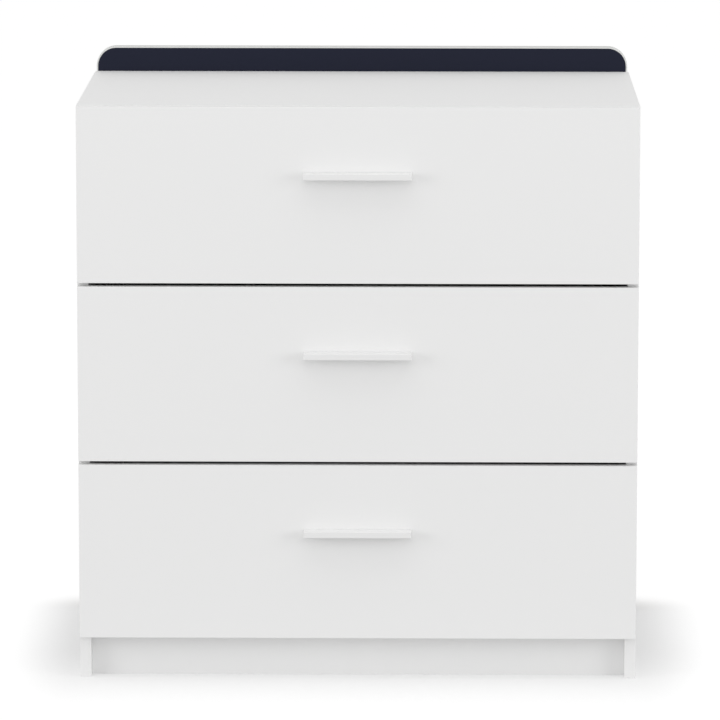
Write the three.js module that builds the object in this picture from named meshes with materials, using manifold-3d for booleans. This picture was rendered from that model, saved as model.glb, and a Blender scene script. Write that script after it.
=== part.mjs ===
// Chest-type changing table: a melamine board carcass with three drawers on roller slides
// and a low guard along the rear of the changing surface.
// Millimetres. +X to the right seen from the front, +Y to the rear, +Z up.
// The origin is on the floor, under the middle of the whole object (handles included).
import * as THREE from 'three';
import { mergeVertices } from 'three/addons/utils/BufferGeometryUtils.js';
import Module from 'manifold-3d';

const wasm = await Module();
wasm.setup();

// ---------------------------------------------------------------- driving dimensions
const WIDTH = 800; // over the side panels
const TOP_HEIGHT = 828.5; // floor to changing surface
const CARCASS_DEPTH = 474; // side panels, front edge to rear edge
const BOARD = 16; // melamine board of the carcass and the drawer fronts
const DRAWER_BOARD = 12; // drawer sides and backs
const HARDBOARD = 3; // back panels and drawer bottoms
const GAP = 0.3; // assembly clearance between fixed neighbours

const DRAWER_NAMES = ['bottom', 'middle', 'top']; // from the floor up
const FRONT_WIDTH = 799;
const FRONT_HEIGHT = 252.4;
const FRONT_SPACING = 5; // open gap between two fronts
const FRONT_STANDOFF = 1; // closed front to carcass edge
const PLINTH_HEIGHT = 61;
const PLINTH_SETBACK = 20;

const BOX_LENGTH = 440; // drawer sides, front to rear
const BOX_HEIGHT = 180;
const BOX_LIFT = 24; // front's lower edge to the drawer sides' lower edge
const BOTTOM_LIFT = 10; // drawer sides' lower edge to the drawer bottom
const SLIDE_SPACE = 12.5; // side panel to drawer side
const GROOVE = 6; // depth of every groove for hardboard
const TONGUE = 5.5; // how far hardboard enters a groove
const BACK_INSET = 11.4; // carcass rear edge to the back panel's groove

const SHEET = 1.2; // runner steel
const RUNNER_FRONT = 3; // carcass front edge to the cabinet runner
const ROLLER_RADIUS = 10;
const ROLLER_WIDTH = 7;
const ROLLER_BORE = 2.9;
const AXLE_RADIUS = 2.5;
const ROLLER_INSET = 14; // runner's end to its roller's axle

const HANDLE_WIDTH = 154;
const HANDLE_DEPTH = 22;
const HANDLE_HEIGHT = 9;
const HANDLE_DROP = 93; // front's upper edge to the handle's top
const HANDLE_WALL = 2.5;
const HANDLE_CORNER = 4; // seen from above
const SCREW_SPACING = 128;
const SCREW_RADIUS = 1.9;
const SCREW_HOLE = 2.3;
const BOSS_RADIUS = 3.6;
const BOSS_LENGTH = 12;

const GUARD_WIDTH = 796;
const GUARD_RISE = 37; // above the changing surface
const GUARD_THICKNESS = 18;
const GUARD_CORNER = 29.5;
const BAND = 2.2; // edge band of the guard

// ---------------------------------------------------------------- derived places
const REAR = (CARCASS_DEPTH + FRONT_STANDOFF + BOARD + HANDLE_DEPTH) / 2;
const CARCASS_FRONT = REAR - CARCASS_DEPTH;
const FRONT_REAR_FACE = CARCASS_FRONT - FRONT_STANDOFF;
const FRONT_FACE = FRONT_REAR_FACE - BOARD;
const INNER_HALF = WIDTH / 2 - BOARD; // middle to the side panels' inner faces
const BOX_HALF = INNER_HALF - SLIDE_SPACE; // middle to the drawer sides' outer faces
const BOX_INNER_HALF = BOX_HALF - DRAWER_BOARD;
const SLOT = HARDBOARD + 2 * GAP; // groove width
const BACK_FACE = REAR - BACK_INSET - SLOT; // front wall of the carcass groove
const GUARD_FACE = REAR - GUARD_THICKNESS; // the guard stands behind the top panel
const UNDERSIDE = TOP_HEIGHT - BOARD; // of the top panel and of the guard
const FRONT_PITCH = FRONT_HEIGHT + FRONT_SPACING;
const RUNNER_LENGTH = BOX_LENGTH;

// ---------------------------------------------------------------- materials
const finish = (color, roughness, metalness = 0) =>
  new THREE.MeshStandardMaterial({ color, roughness, metalness });

const MELAMINE = finish('#ebebea', 0.45);
const DRAWER_WHITE = finish('#e8e8e6', 0.5);
const HARDBOARD_WHITE = finish('#e4e2dc', 0.6);
const HANDLE_PLASTIC = finish('#ecedec', 0.4);
const COATED_STEEL = finish('#e6e6e2', 0.4);
const ROLLER_PLASTIC = finish('#cfcfc8', 0.45);
const ZINC = finish('#b4b7ba', 0.35, 0.9);
const NAVY = finish('#282a38', 0.45);
const BAND_PLASTIC = finish('#d4d4cf', 0.45);

const table = new THREE.Group();

function addMesh(name, geometry, material, parent = table) {
  const mesh = new THREE.Mesh(geometry, material);
  mesh.name = name;
  parent.add(mesh);
  return mesh;
}

// ---------------------------------------------------------------- shapes
/** Box between two values on each axis. */
function block([x0, x1], [y0, y1], [z0, z1]) {
  const geometry = new THREE.BoxGeometry(x1 - x0, y1 - y0, z1 - z0);
  return geometry.translate((x0 + x1) / 2, (y0 + y1) / 2, (z0 + z1) / 2);
}

function shapeOf(points) {
  return new THREE.Shape(points.map(([u, v]) => new THREE.Vector2(u, v)));
}

/** Section drawn in X and Z, extruded from y0 to y1. */
function extrudeAlongY(shape, y0, y1) {
  const options = { depth: y1 - y0, bevelEnabled: false, curveSegments: 8 };
  return new THREE.ExtrudeGeometry(shape, options).rotateX(Math.PI / 2).translate(0, y1, 0);
}

/** Cylinder about an axis parallel to X ('x') or Y ('y'), from one end to the other. */
function rod(axis, radius, from, to, [a, b]) {
  const geometry = new THREE.CylinderGeometry(radius, radius, Math.abs(to - from), 16);
  const middle = (from + to) / 2;
  if (axis === 'x') return geometry.rotateZ(Math.PI / 2).translate(middle, a, b);
  return geometry.translate(a, middle, b);
}

// ---------------------------------------------------------------- booleans
function toManifold(geometry) {
  const bare = geometry.clone();
  bare.deleteAttribute('normal');
  bare.deleteAttribute('uv');
  const merged = mergeVertices(bare, 1e-4);
  return new wasm.Manifold(new wasm.Mesh({
    numProp: 3,
    vertProperties: new Float32Array(merged.attributes.position.array),
    triVerts: new Uint32Array(merged.index.array),
  }));
}

function toGeometry(manifold) {
  const mesh = manifold.getMesh();
  const geometry = new THREE.BufferGeometry();
  geometry.setAttribute('position', new THREE.BufferAttribute(mesh.vertProperties, 3));
  geometry.setIndex(new THREE.BufferAttribute(mesh.triVerts, 1));
  geometry.computeVertexNormals();
  return geometry;
}

const cut = (body, cutters) =>
  toGeometry(cutters.reduce((solid, tool) => solid.subtract(toManifold(tool)), toManifold(body)));

const join = (body, additions) =>
  toGeometry(additions.reduce((solid, extra) => solid.add(toManifold(extra)), toManifold(body)));

// ---------------------------------------------------------------- carcass
function sidePanel(side) {
  const inner = side * INNER_HALF;
  const outer = (side * WIDTH) / 2;
  const x = [Math.min(inner, outer), Math.max(inner, outer)];
  const grooveX = [inner - GROOVE, inner + GROOVE];
  return cut(block(x, [CARCASS_FRONT, REAR], [0, UNDERSIDE - GAP]), [
    block(grooveX, [BACK_FACE, BACK_FACE + SLOT], [-1, UNDERSIDE + 1]),
  ]);
}

function buildCarcass() {
  const between = [-INNER_HALF + GAP, INNER_HALF - GAP];
  const plinthZ = [0, PLINTH_HEIGHT - GAP];
  const plinthFront = CARCASS_FRONT + PLINTH_SETBACK;
  const plinthRear = BACK_FACE - 2 * PLINTH_SETBACK;
  addMesh('left_side_panel', sidePanel(-1), MELAMINE);
  addMesh('right_side_panel', sidePanel(1), MELAMINE);
  addMesh('top_panel',
    block([-WIDTH / 2, WIDTH / 2], [CARCASS_FRONT, GUARD_FACE - GAP], [UNDERSIDE, TOP_HEIGHT]), MELAMINE);
  addMesh('bottom_panel',
    block(between, [CARCASS_FRONT, BACK_FACE - GAP], [PLINTH_HEIGHT, PLINTH_HEIGHT + BOARD]), MELAMINE);
  addMesh('plinth_front', block(between, [plinthFront, plinthFront + BOARD], plinthZ), MELAMINE);
  addMesh('plinth_rear', block(between, [plinthRear, plinthRear + BOARD], plinthZ), MELAMINE);
}

/** Hardboard back in two halves, held by the grooves and an H-shaped strip between them. */
function buildBack() {
  const panelX = [-INNER_HALF - TONGUE, INNER_HALF + TONGUE];
  const panelY = [BACK_FACE + GAP, BACK_FACE + GAP + HARDBOARD];
  const lower = PLINTH_HEIGHT;
  const upper = UNDERSIDE - GAP;
  const middle = (lower + upper) / 2;
  const web = 0.75;
  const lip = 10;
  addMesh('back_panel_lower', block(panelX, panelY, [lower, middle - web - GAP]), HARDBOARD_WHITE);
  addMesh('back_panel_upper', block(panelX, panelY, [middle + web + GAP, upper]), HARDBOARD_WHITE);

  const faces = [panelY[0] - GAP - SHEET, panelY[1] + GAP + SHEET];
  const stripX = [-INNER_HALF + GAP, INNER_HALF - GAP];
  const slots = [-1, 1].map((way) => {
    const z = [middle + way * web, middle + way * (lip + 1)];
    return block([-WIDTH, WIDTH], [faces[0] + SHEET, faces[1] - SHEET], [Math.min(...z), Math.max(...z)]);
  });
  const strip = block(stripX, faces, [middle - lip, middle + lip]);
  addMesh('back_joint_strip', cut(strip, slots), BAND_PLASTIC);
}

/** Outline of the guard, rounded at its two upper corners; inset shrinks it at the top and ends. */
function guardOutline(inset, foot) {
  const half = GUARD_WIDTH / 2 - inset;
  const height = TOP_HEIGHT + GUARD_RISE - inset;
  const radius = GUARD_CORNER - inset;
  const outline = new THREE.Shape();
  outline.moveTo(-half, foot);
  outline.lineTo(half, foot);
  outline.absarc(half - radius, height - radius, radius, 0, Math.PI / 2, false);
  outline.absarc(-half + radius, height - radius, radius, Math.PI / 2, Math.PI, false);
  outline.closePath();
  return outline;
}

function buildGuard() {
  const full = extrudeAlongY(guardOutline(0, UNDERSIDE), GUARD_FACE, REAR);
  const core = extrudeAlongY(guardOutline(BAND - GAP, UNDERSIDE - 1), GUARD_FACE - 1, REAR + 1);
  addMesh('guard_board', extrudeAlongY(guardOutline(BAND, UNDERSIDE), GUARD_FACE, REAR), NAVY);
  addMesh('guard_edge_band', cut(full, [core]), BAND_PLASTIC);
}

// ---------------------------------------------------------------- roller slides
// Heights here are measured from the drawer sides' lower edge.
const FLANGE_TOP = 22.8; // underside of the drawer runner's rolling flange
const TRACK = FLANGE_TOP - 2 * ROLLER_RADIUS - 2 * GAP; // top of the cabinet runner's track
const AXLE_HEIGHT = TRACK + GAP + ROLLER_RADIUS;
const CABINET_WEB = INNER_HALF - GAP; // outer face of the cabinet runner
const TRACK_EDGE = INNER_HALF - 10;
const DRAWER_WEB = BOX_HALF + GAP; // inner face of the drawer runner
const ROLLER_OUTER = INNER_HALF - 2.6;
const RUNNER_Y = [CARCASS_FRONT + RUNNER_FRONT, CARCASS_FRONT + RUNNER_FRONT + RUNNER_LENGTH];
const FRONT_AXLE_Y = RUNNER_Y[0] + ROLLER_INSET;
const REAR_AXLE_Y = FRONT_REAR_FACE + GAP + BOX_LENGTH - ROLLER_INSET;

/** C-section fixed to the side panel, with the stub axle of its front roller. */
function cabinetRunner(side) {
  const web = CABINET_WEB - SHEET;
  const top = TRACK + 28;
  const lipEdge = INNER_HALF - 6;
  const section = shapeOf([
    [side * CABINET_WEB, TRACK - SHEET],
    [side * TRACK_EDGE, TRACK - SHEET],
    [side * TRACK_EDGE, TRACK],
    [side * web, TRACK],
    [side * web, top - SHEET],
    [side * lipEdge, top - SHEET],
    [side * lipEdge, top],
    [side * CABINET_WEB, top],
  ]);
  const axleEnd = ROLLER_OUTER - ROLLER_WIDTH + GAP;
  const axle = rod('x', AXLE_RADIUS, side * (web + SHEET / 2), side * axleEnd, [FRONT_AXLE_Y, AXLE_HEIGHT]);
  return join(extrudeAlongY(section, ...RUNNER_Y), [axle]);
}

/** Z-section under and beside the drawer side, with the stub axle of its rear roller. */
function drawerRunner(side) {
  const web = DRAWER_WEB + SHEET;
  const foot = BOX_INNER_HALF;
  const flangeEdge = ROLLER_OUTER - GAP;
  const section = shapeOf([
    [side * foot, -GAP - SHEET],
    [side * web, -GAP - SHEET],
    [side * web, FLANGE_TOP],
    [side * flangeEdge, FLANGE_TOP],
    [side * flangeEdge, FLANGE_TOP + SHEET],
    [side * DRAWER_WEB, FLANGE_TOP + SHEET],
    [side * DRAWER_WEB, -GAP],
    [side * foot, -GAP],
  ]);
  const axleRoot = DRAWER_WEB + SHEET / 2;
  const axle = rod('x', AXLE_RADIUS, side * axleRoot, side * (ROLLER_OUTER - GAP), [REAR_AXLE_Y, AXLE_HEIGHT]);
  return join(extrudeAlongY(section, RUNNER_Y[0], REAR_AXLE_Y + ROLLER_INSET), [axle]);
}

/** Plastic roller with chamfered rims and an open bore, centred on its axle. */
function roller() {
  const chamfer = 0.8;
  const half = ROLLER_WIDTH / 2;
  const rim = ROLLER_RADIUS - chamfer;
  const profile = [
    [ROLLER_BORE, -half], [rim, -half], [ROLLER_RADIUS, chamfer - half],
    [ROLLER_RADIUS, half - chamfer], [rim, half], [ROLLER_BORE, half], [ROLLER_BORE, -half],
  ].map(([radius, along]) => new THREE.Vector2(radius, along));
  return new THREE.LatheGeometry(profile, 24).rotateZ(-Math.PI / 2);
}

// ---------------------------------------------------------------- drawers
// Each drawer is a group placed at its front's lower edge, so heights start there.
const HANDLE_TOP = FRONT_HEIGHT - HANDLE_DROP;
const SCREW_HEIGHT = HANDLE_TOP - HANDLE_HEIGHT / 2;
const SCREW_XS = [-SCREW_SPACING / 2, SCREW_SPACING / 2];
const BOTTOM_Z = BOX_LIFT + BOTTOM_LIFT; // underside of the drawer bottom
const BOX_Y = [FRONT_REAR_FACE + GAP, FRONT_REAR_FACE + GAP + BOX_LENGTH];

function drawerFront() {
  const grooveHalf = BOX_INNER_HALF + GROOVE;
  const holes = SCREW_XS.map((x) =>
    rod('y', SCREW_HOLE, FRONT_FACE - 1, FRONT_REAR_FACE + 1, [x, SCREW_HEIGHT]));
  const groove = block([-grooveHalf, grooveHalf], [FRONT_REAR_FACE - GROOVE, FRONT_REAR_FACE + 1],
    [BOTTOM_Z - GAP, BOTTOM_Z - GAP + SLOT]);
  const half = FRONT_WIDTH / 2;
  return cut(block([-half, half], [FRONT_FACE, FRONT_REAR_FACE], [0, FRONT_HEIGHT]), [groove, ...holes]);
}

function drawerSide(side) {
  const x = [side * BOX_INNER_HALF, side * BOX_HALF].sort((a, b) => a - b);
  const grooveX = [side * BOX_INNER_HALF - GROOVE, side * BOX_INNER_HALF + GROOVE];
  return cut(block(x, BOX_Y, [BOX_LIFT, BOX_LIFT + BOX_HEIGHT]), [
    block(grooveX, [BOX_Y[0] - 1, BOX_Y[1] + 1], [BOTTOM_Z - GAP, BOTTOM_Z - GAP + SLOT]),
  ]);
}

/** The handle's outline from above, with rounded front corners, as a prism from z0 to z1. */
function handlePrism(inset, z0, z1) {
  const half = HANDLE_WIDTH / 2 - inset;
  const rear = FRONT_FACE - GAP - inset;
  const front = FRONT_FACE - HANDLE_DEPTH + inset;
  const radius = HANDLE_CORNER - inset;
  const outline = new THREE.Shape();
  outline.moveTo(half, rear);
  outline.lineTo(-half, rear);
  outline.absarc(-half + radius, front + radius, radius, Math.PI, 1.5 * Math.PI, false);
  outline.absarc(half - radius, front + radius, radius, 1.5 * Math.PI, 2 * Math.PI, false);
  outline.closePath();
  const options = { depth: z1 - z0, bevelEnabled: false, curveSegments: 4 };
  return new THREE.ExtrudeGeometry(outline, options).translate(0, 0, z0);
}

/** Moulded ledge, open underneath for the fingers, with two bosses for its screws. */
function handle() {
  const rear = FRONT_FACE - GAP;
  const foot = HANDLE_TOP - HANDLE_HEIGHT;
  const ledge = handlePrism(0, foot, HANDLE_TOP);
  const hollow = handlePrism(HANDLE_WALL, foot - 1, HANDLE_TOP - HANDLE_WALL);
  const bosses = SCREW_XS.map((x) =>
    rod('y', BOSS_RADIUS, rear - BOSS_LENGTH, rear - HANDLE_WALL / 2, [x, SCREW_HEIGHT]));
  const holes = SCREW_XS.map((x) =>
    rod('y', SCREW_HOLE, rear - BOSS_LENGTH + 2, rear + 1, [x, SCREW_HEIGHT]));
  return cut(join(cut(ledge, [hollow]), bosses), holes);
}

/** Pan-head machine screw, driven from inside the drawer. */
function handleScrew() {
  const head = 4;
  const headHeight = 2.2;
  const tip = FRONT_FACE - GAP - BOSS_LENGTH + 3;
  const seat = FRONT_REAR_FACE + GAP;
  const profile = [
    [0, tip], [SCREW_RADIUS, tip + 0.8], [SCREW_RADIUS, seat], [head, seat],
    [head, seat + headHeight / 2], [head / 2, seat + headHeight], [0, seat + headHeight],
  ].map(([radius, along]) => new THREE.Vector2(radius, along));
  return new THREE.LatheGeometry(profile, 16);
}

function buildDrawer(name, base) {
  const drawer = new THREE.Group();
  drawer.position.z = base;
  table.add(drawer);
  const add = (piece, geometry, material) => addMesh(`${name}_drawer_${piece}`, geometry, material, drawer);

  add('front', drawerFront(), MELAMINE);
  add('side_left', drawerSide(-1), DRAWER_WHITE);
  add('side_right', drawerSide(1), DRAWER_WHITE);
  add('back', block([-BOX_INNER_HALF + GAP, BOX_INNER_HALF - GAP], [BOX_Y[1] - DRAWER_BOARD, BOX_Y[1]],
    [BOTTOM_Z + HARDBOARD + GAP, BOX_LIFT + BOX_HEIGHT]), DRAWER_WHITE);
  add('bottom', block([-BOX_INNER_HALF - TONGUE, BOX_INNER_HALF + TONGUE],
    [FRONT_REAR_FACE - TONGUE, BOX_Y[1]], [BOTTOM_Z, BOTTOM_Z + HARDBOARD]), HARDBOARD_WHITE);
  add('handle', handle(), HANDLE_PLASTIC);
  SCREW_XS.forEach((x, index) => {
    const screw = add(`handle_screw_${index + 1}`, handleScrew(), ZINC);
    screw.position.set(x, 0, SCREW_HEIGHT);
  });

  for (const [label, side] of [['left', -1], ['right', 1]]) {
    const rollerX = side * (ROLLER_OUTER - ROLLER_WIDTH / 2);
    const axleZ = BOX_LIFT + AXLE_HEIGHT;
    add(`cabinet_runner_${label}`, cabinetRunner(side), COATED_STEEL).position.z = BOX_LIFT;
    add(`runner_${label}`, drawerRunner(side), COATED_STEEL).position.z = BOX_LIFT;
    add(`front_roller_${label}`, roller(), ROLLER_PLASTIC).position.set(rollerX, FRONT_AXLE_Y, axleZ);
    add(`rear_roller_${label}`, roller(), ROLLER_PLASTIC).position.set(rollerX, REAR_AXLE_Y, axleZ);
  }
}

// ---------------------------------------------------------------- assembly
buildCarcass();
buildBack();
buildGuard();
DRAWER_NAMES.forEach((name, index) => buildDrawer(name, PLINTH_HEIGHT + index * FRONT_PITCH));

export default table;
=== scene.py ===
"""Changing table with three drawers: the visual model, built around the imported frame.

Every piece is shaped in its own place in the row frame, in metres: +X to the right seen from the
front, +Y to the rear, +Z up. Places come from the frame's boxes, so only the sizes that the frame
doesn't hold, such as radii, wall thicknesses and screw heads, are stated here.
"""

import logging
import math
from collections.abc import Callable, Iterable, Sequence
from dataclasses import dataclass, field
from enum import Enum, IntEnum
from functools import cache
from itertools import product

import bmesh
import bpy
from mathutils import Matrix, Vector


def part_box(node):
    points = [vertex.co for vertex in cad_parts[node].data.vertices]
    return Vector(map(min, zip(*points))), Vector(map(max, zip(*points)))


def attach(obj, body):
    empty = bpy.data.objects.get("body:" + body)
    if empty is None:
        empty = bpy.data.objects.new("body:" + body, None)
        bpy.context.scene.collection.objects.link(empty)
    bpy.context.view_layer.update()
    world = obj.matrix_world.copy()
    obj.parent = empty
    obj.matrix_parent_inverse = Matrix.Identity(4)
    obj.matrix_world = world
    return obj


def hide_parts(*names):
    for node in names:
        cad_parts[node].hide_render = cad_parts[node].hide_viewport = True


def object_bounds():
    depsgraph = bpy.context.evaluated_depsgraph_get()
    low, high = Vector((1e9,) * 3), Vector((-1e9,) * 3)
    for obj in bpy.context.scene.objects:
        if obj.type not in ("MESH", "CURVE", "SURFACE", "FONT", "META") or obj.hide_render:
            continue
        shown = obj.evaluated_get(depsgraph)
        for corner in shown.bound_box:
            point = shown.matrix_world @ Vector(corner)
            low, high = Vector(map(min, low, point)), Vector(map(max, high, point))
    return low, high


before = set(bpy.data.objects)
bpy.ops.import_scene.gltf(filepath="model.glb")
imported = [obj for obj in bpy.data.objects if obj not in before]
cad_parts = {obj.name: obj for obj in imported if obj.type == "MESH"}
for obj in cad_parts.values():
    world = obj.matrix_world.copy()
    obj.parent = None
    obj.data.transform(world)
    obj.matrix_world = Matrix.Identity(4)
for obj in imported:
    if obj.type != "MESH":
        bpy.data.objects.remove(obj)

CAD_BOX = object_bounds()
CABINET = "cabinet"

MM = 0.001
TOUCH = 0.01 * MM  # two places this near count as the same
WELD = 0.001 * MM  # vertices this near are merged
SHARP = 0.5  # an edge that turns more than this, in radians, can be rounded
CREASE = math.radians(38)  # an edge that turns more than this is shaded sharp
ALIGNED = 0.9  # a normal this far along an axis faces that way
SECOND_FINISH = 1  # slot of a piece's second finish

log = logging.getLogger("changing_table")

Color = tuple[float, float, float]
Stretch = tuple[float, float, float]
Profile = Sequence[tuple[float, float]]
Box = tuple[Vector, Vector]
Vert = bmesh.types.BMVert
Face = bmesh.types.BMFace
Edge = bmesh.types.BMEdge
Socket = bpy.types.NodeSocket
Sockets = bpy.types.bpy_prop_collection


class Axis(Enum):
    """An axis of the row frame."""

    X = 0
    Y = 1
    Z = 2

    @property
    def unit(self) -> Vector:
        """The axis as a unit vector."""
        return Vector([1.0 if i == self.value else 0.0 for i in range(3)])

    @property
    def others(self) -> tuple[int, int]:
        """The indices of the other two axes, in X, Y, Z order."""
        first, second = (i for i in range(3) if i != self.value)
        return first, second


class Side(Enum):
    """Left or right, seen from the front."""

    LEFT = -1
    RIGHT = 1

    @property
    def label(self) -> str:
        """The side's name in lower case, as node names have it."""
        return self.name.lower()

    def inner(self, box: Box) -> float:
        """Where a box on this side faces the middle."""
        return box[1].x if self is Side.LEFT else box[0].x

    def outer(self, box: Box) -> float:
        """Where a box on this side faces away from the middle."""
        return box[0].x if self is Side.LEFT else box[1].x


class Level(Enum):
    """A drawer, by its place in the carcass."""

    BOTTOM = "bottom"
    MIDDLE = "middle"
    TOP = "top"

    @property
    def body(self) -> str:
        """The frame body of this drawer."""
        return f"{self.value}_drawer"

    def node(self, piece: str) -> str:
        """The frame node of one piece of this drawer."""
        return f"{self.value}_drawer_{piece}"


class Skin(IntEnum):
    """The finish slots of a board."""

    FACE = 0
    BAND = 1
    SAWN = 2


# ------------------------------------------------------------------------------- shaping


class Solid:
    """A mesh while bmesh operators shape it, until it becomes a piece."""

    def __init__(self) -> None:
        """Starts with nothing in it."""
        self.bm = bmesh.new()

    @classmethod
    def box(cls, low: Vector, high: Vector) -> "Solid":
        """Makes a box.

        Args:
            low: Lowest corner.
            high: Highest corner.

        Returns:
            The box.
        """
        solid = cls()
        place = Matrix.Translation((low + high) / 2) @ Matrix.Diagonal((*(high - low), 1.0))
        bmesh.ops.create_cube(solid.bm, size=1.0, matrix=place)
        return solid

    @classmethod
    def prism(cls, section: Profile, axis: Axis, start: float, end: float) -> "Solid":
        """Extrudes a section of a few corners along an axis.

        Args:
            section: Corners on the two other axes, in X, Y, Z order.
            axis: Direction of the extrusion.
            start: Where it starts on that axis.
            end: Where it ends.

        Returns:
            The closed prism.
        """
        solid = cls()
        first, second = axis.others
        corners = []
        for u, v in section:
            point = axis.unit * start
            point[first] = u
            point[second] = v
            corners.append(solid.bm.verts.new(point))
        cap = solid.bm.faces.new(corners)
        grown = bmesh.ops.extrude_face_region(solid.bm, geom=[cap])["geom"]
        far = [item for item in grown if isinstance(item, Vert)]
        bmesh.ops.translate(solid.bm, verts=far, vec=axis.unit * (end - start))
        solid.face_outwards()
        return solid

    @classmethod
    def turned(cls, profile: Profile, steps: int) -> "Solid":
        """Spins a profile a full turn about the local Z axis.

        Args:
            profile: Corners as (radius, height), closed on itself or ending on the axis.
            steps: Steps in the turn.

        Returns:
            The closed turned shape.
        """
        solid = cls()
        solid.spin(profile, steps)
        bmesh.ops.dissolve_degenerate(solid.bm, edges=solid.bm.edges, dist=WELD)
        solid.face_outwards()
        return solid

    def spin(self, profile: Profile, steps: int) -> None:
        """Sweeps a profile a full turn about the local Z axis, as an open or closed skin.

        Args:
            profile: Corners as (radius, height).
            steps: Steps in the turn.
        """
        points = [self.bm.verts.new((radius, 0.0, height)) for radius, height in profile]
        edges = [self.bm.edges.new(pair) for pair in zip(points, points[1:])]
        bmesh.ops.spin(
            self.bm, geom=points + edges, cent=(0, 0, 0), axis=(0, 0, 1), dvec=(0, 0, 0),
            angle=math.tau, steps=steps, use_merge=True,
        )
        bmesh.ops.remove_doubles(self.bm, verts=self.bm.verts, dist=WELD)

    def face_outwards(self) -> None:
        """Turns every face outwards."""
        bmesh.ops.recalc_face_normals(self.bm, faces=self.bm.faces)

    def round_edges(
        self, width: float, segments: int = 2, test: Callable[[Edge], bool] = lambda edge: True
    ) -> None:
        """Bevels the sharp edges.

        Args:
            width: Bevel width.
            segments: Faces across the bevel.
            test: Picks among the sharp edges.
        """
        sharp = [
            edge for edge in self.bm.edges
            if edge.is_manifold and edge.calc_face_angle(0.0) > SHARP and test(edge)
        ]
        bmesh.ops.bevel(
            self.bm, geom=sharp, offset=width, offset_type="OFFSET", affect="EDGES",
            segments=segments, profile=0.5, material=-1, clamp_overlap=True,
        )

    def score(self, axis: Axis, place: float) -> None:
        """Cuts the faces along a plane, without removing anything.

        Args:
            axis: The plane's normal.
            place: Where the plane crosses that axis.
        """
        everything = [*self.bm.verts, *self.bm.edges, *self.bm.faces]
        bmesh.ops.bisect_plane(
            self.bm, geom=everything, dist=WELD, plane_co=axis.unit * place, plane_no=axis.unit
        )

    def sink(self, faces: Iterable[Face], depth: Vector) -> None:
        """Pushes faces in, with walls round them.

        Args:
            faces: A patch of the skin.
            depth: How far and which way.
        """
        patch = list(faces)
        grown = bmesh.ops.extrude_face_region(self.bm, geom=patch)["geom"]
        moved = [item for item in grown if isinstance(item, Vert)]
        bmesh.ops.translate(self.bm, verts=moved, vec=depth)
        bmesh.ops.delete(self.bm, geom=patch, context="FACES")
        self.face_outwards()

    def paint(self, slot: int, test: Callable[[Face], bool]) -> None:
        """Gives the faces that pass a test one of the piece's finishes.

        Args:
            slot: The finish's slot.
            test: Picks the faces.
        """
        for face in self.bm.faces:
            if test(face):
                face.material_index = slot

    def move(self, matrix: Matrix) -> "Solid":
        """Transforms the whole solid.

        Args:
            matrix: The transform.

        Returns:
            This solid.
        """
        bmesh.ops.transform(self.bm, matrix=matrix, verts=self.bm.verts)
        if matrix.determinant() < 0:
            bmesh.ops.reverse_faces(self.bm, faces=self.bm.faces)
        return self

    def add(self, other: "Solid", places: Iterable[Matrix], slot: int | None = None) -> "Solid":
        """Adds copies of another solid, which is used up.

        Args:
            other: The solid to copy.
            places: One matrix for each copy.
            slot: Finish of the copies; their own without it.

        Returns:
            This solid.
        """
        if slot is not None:
            other.paint(slot, lambda face: True)
        template = bpy.data.meshes.new("template")
        other.bm.to_mesh(template)
        other.bm.free()
        for place in places:
            before = set(self.bm.verts)
            self.bm.from_mesh(template)
            fresh = [vert for vert in self.bm.verts if vert not in before]
            bmesh.ops.transform(self.bm, matrix=place, verts=fresh)
        bpy.data.meshes.remove(template)
        return self

    def piece(
        self, name: str, body: str, finishes: Sequence["Finish"], slot: str,
        replaces: Sequence[str] = (),
    ) -> bpy.types.Object:
        """Turns the solid into a finished piece of the object.

        Args:
            name: The piece's name.
            body: The frame body that it rides on.
            finishes: Its finishes, in the order of its faces' slots.
            slot: The record's material slot; not used.
            replaces: Frame nodes that it stands for.

        Returns:
            The new object.
        """
        for edge in self.bm.edges:
            edge.smooth = edge.calc_face_angle(0.0) < CREASE
        for face in self.bm.faces:
            face.smooth = True
        mesh = bpy.data.meshes.new(name)
        self.bm.to_mesh(mesh)
        self.bm.free()
        for finish in finishes:
            mesh.materials.append(finish.material())
        made = bpy.data.objects.new(name, mesh)
        bpy.context.scene.collection.objects.link(made)
        shading = made.modifiers.new("even_shading", "WEIGHTED_NORMAL")
        shading.keep_sharp = True
        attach(made, body)
        if replaces:
            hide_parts(*replaces)
        log.info("%s: %d faces on %s", name, len(mesh.polygons), body)
        return made


def grown_box(box: Box, by: float) -> Box:
    """The box grown by the same distance on every side."""
    margin = Vector((by, by, by))
    return box[0] - margin, box[1] + margin


def inside(point: Vector, box: Box, axes: Iterable[int] = range(3)) -> bool:
    """Whether a point is inside a box on the given axes."""
    return all(box[0][i] < point[i] < box[1][i] for i in axes)


def square_to(edge: Edge, axis: Axis) -> bool:
    """Whether both ends of an edge are at the same place on an axis."""
    return abs(edge.verts[0].co[axis.value] - edge.verts[1].co[axis.value]) < TOUCH


def on_top(edge: Edge, height: float) -> bool:
    """Whether an edge lies at a height."""
    return all(abs(vert.co.z - height) < TOUCH for vert in edge.verts)


def near_plane(axis: Axis, place: float, reach: float) -> Callable[[Face], bool]:
    """A test for the faces whose middle is within reach of a plane across an axis."""
    return lambda face: abs(face.calc_center_median()[axis.value] - place) < reach


def facing(axis: Axis, sign: int) -> Matrix:
    """The turn that takes local +Z to a direction along an axis."""
    return Vector((0, 0, 1)).rotation_difference(axis.unit * sign).to_matrix().to_4x4()


def stations(points: Iterable[Sequence[float]], axis: Axis, sign: int) -> list[Matrix]:
    """Places for copies of a small fitting.

    Args:
        points: Where each one stands.
        axis: The axis that its local +Z points along.
        sign: Which way along it.

    Returns:
        A matrix for each point.
    """
    return [Matrix.Translation(Vector(point)) @ facing(axis, sign) for point in points]


# ------------------------------------------------------------------------------- node groups


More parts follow.
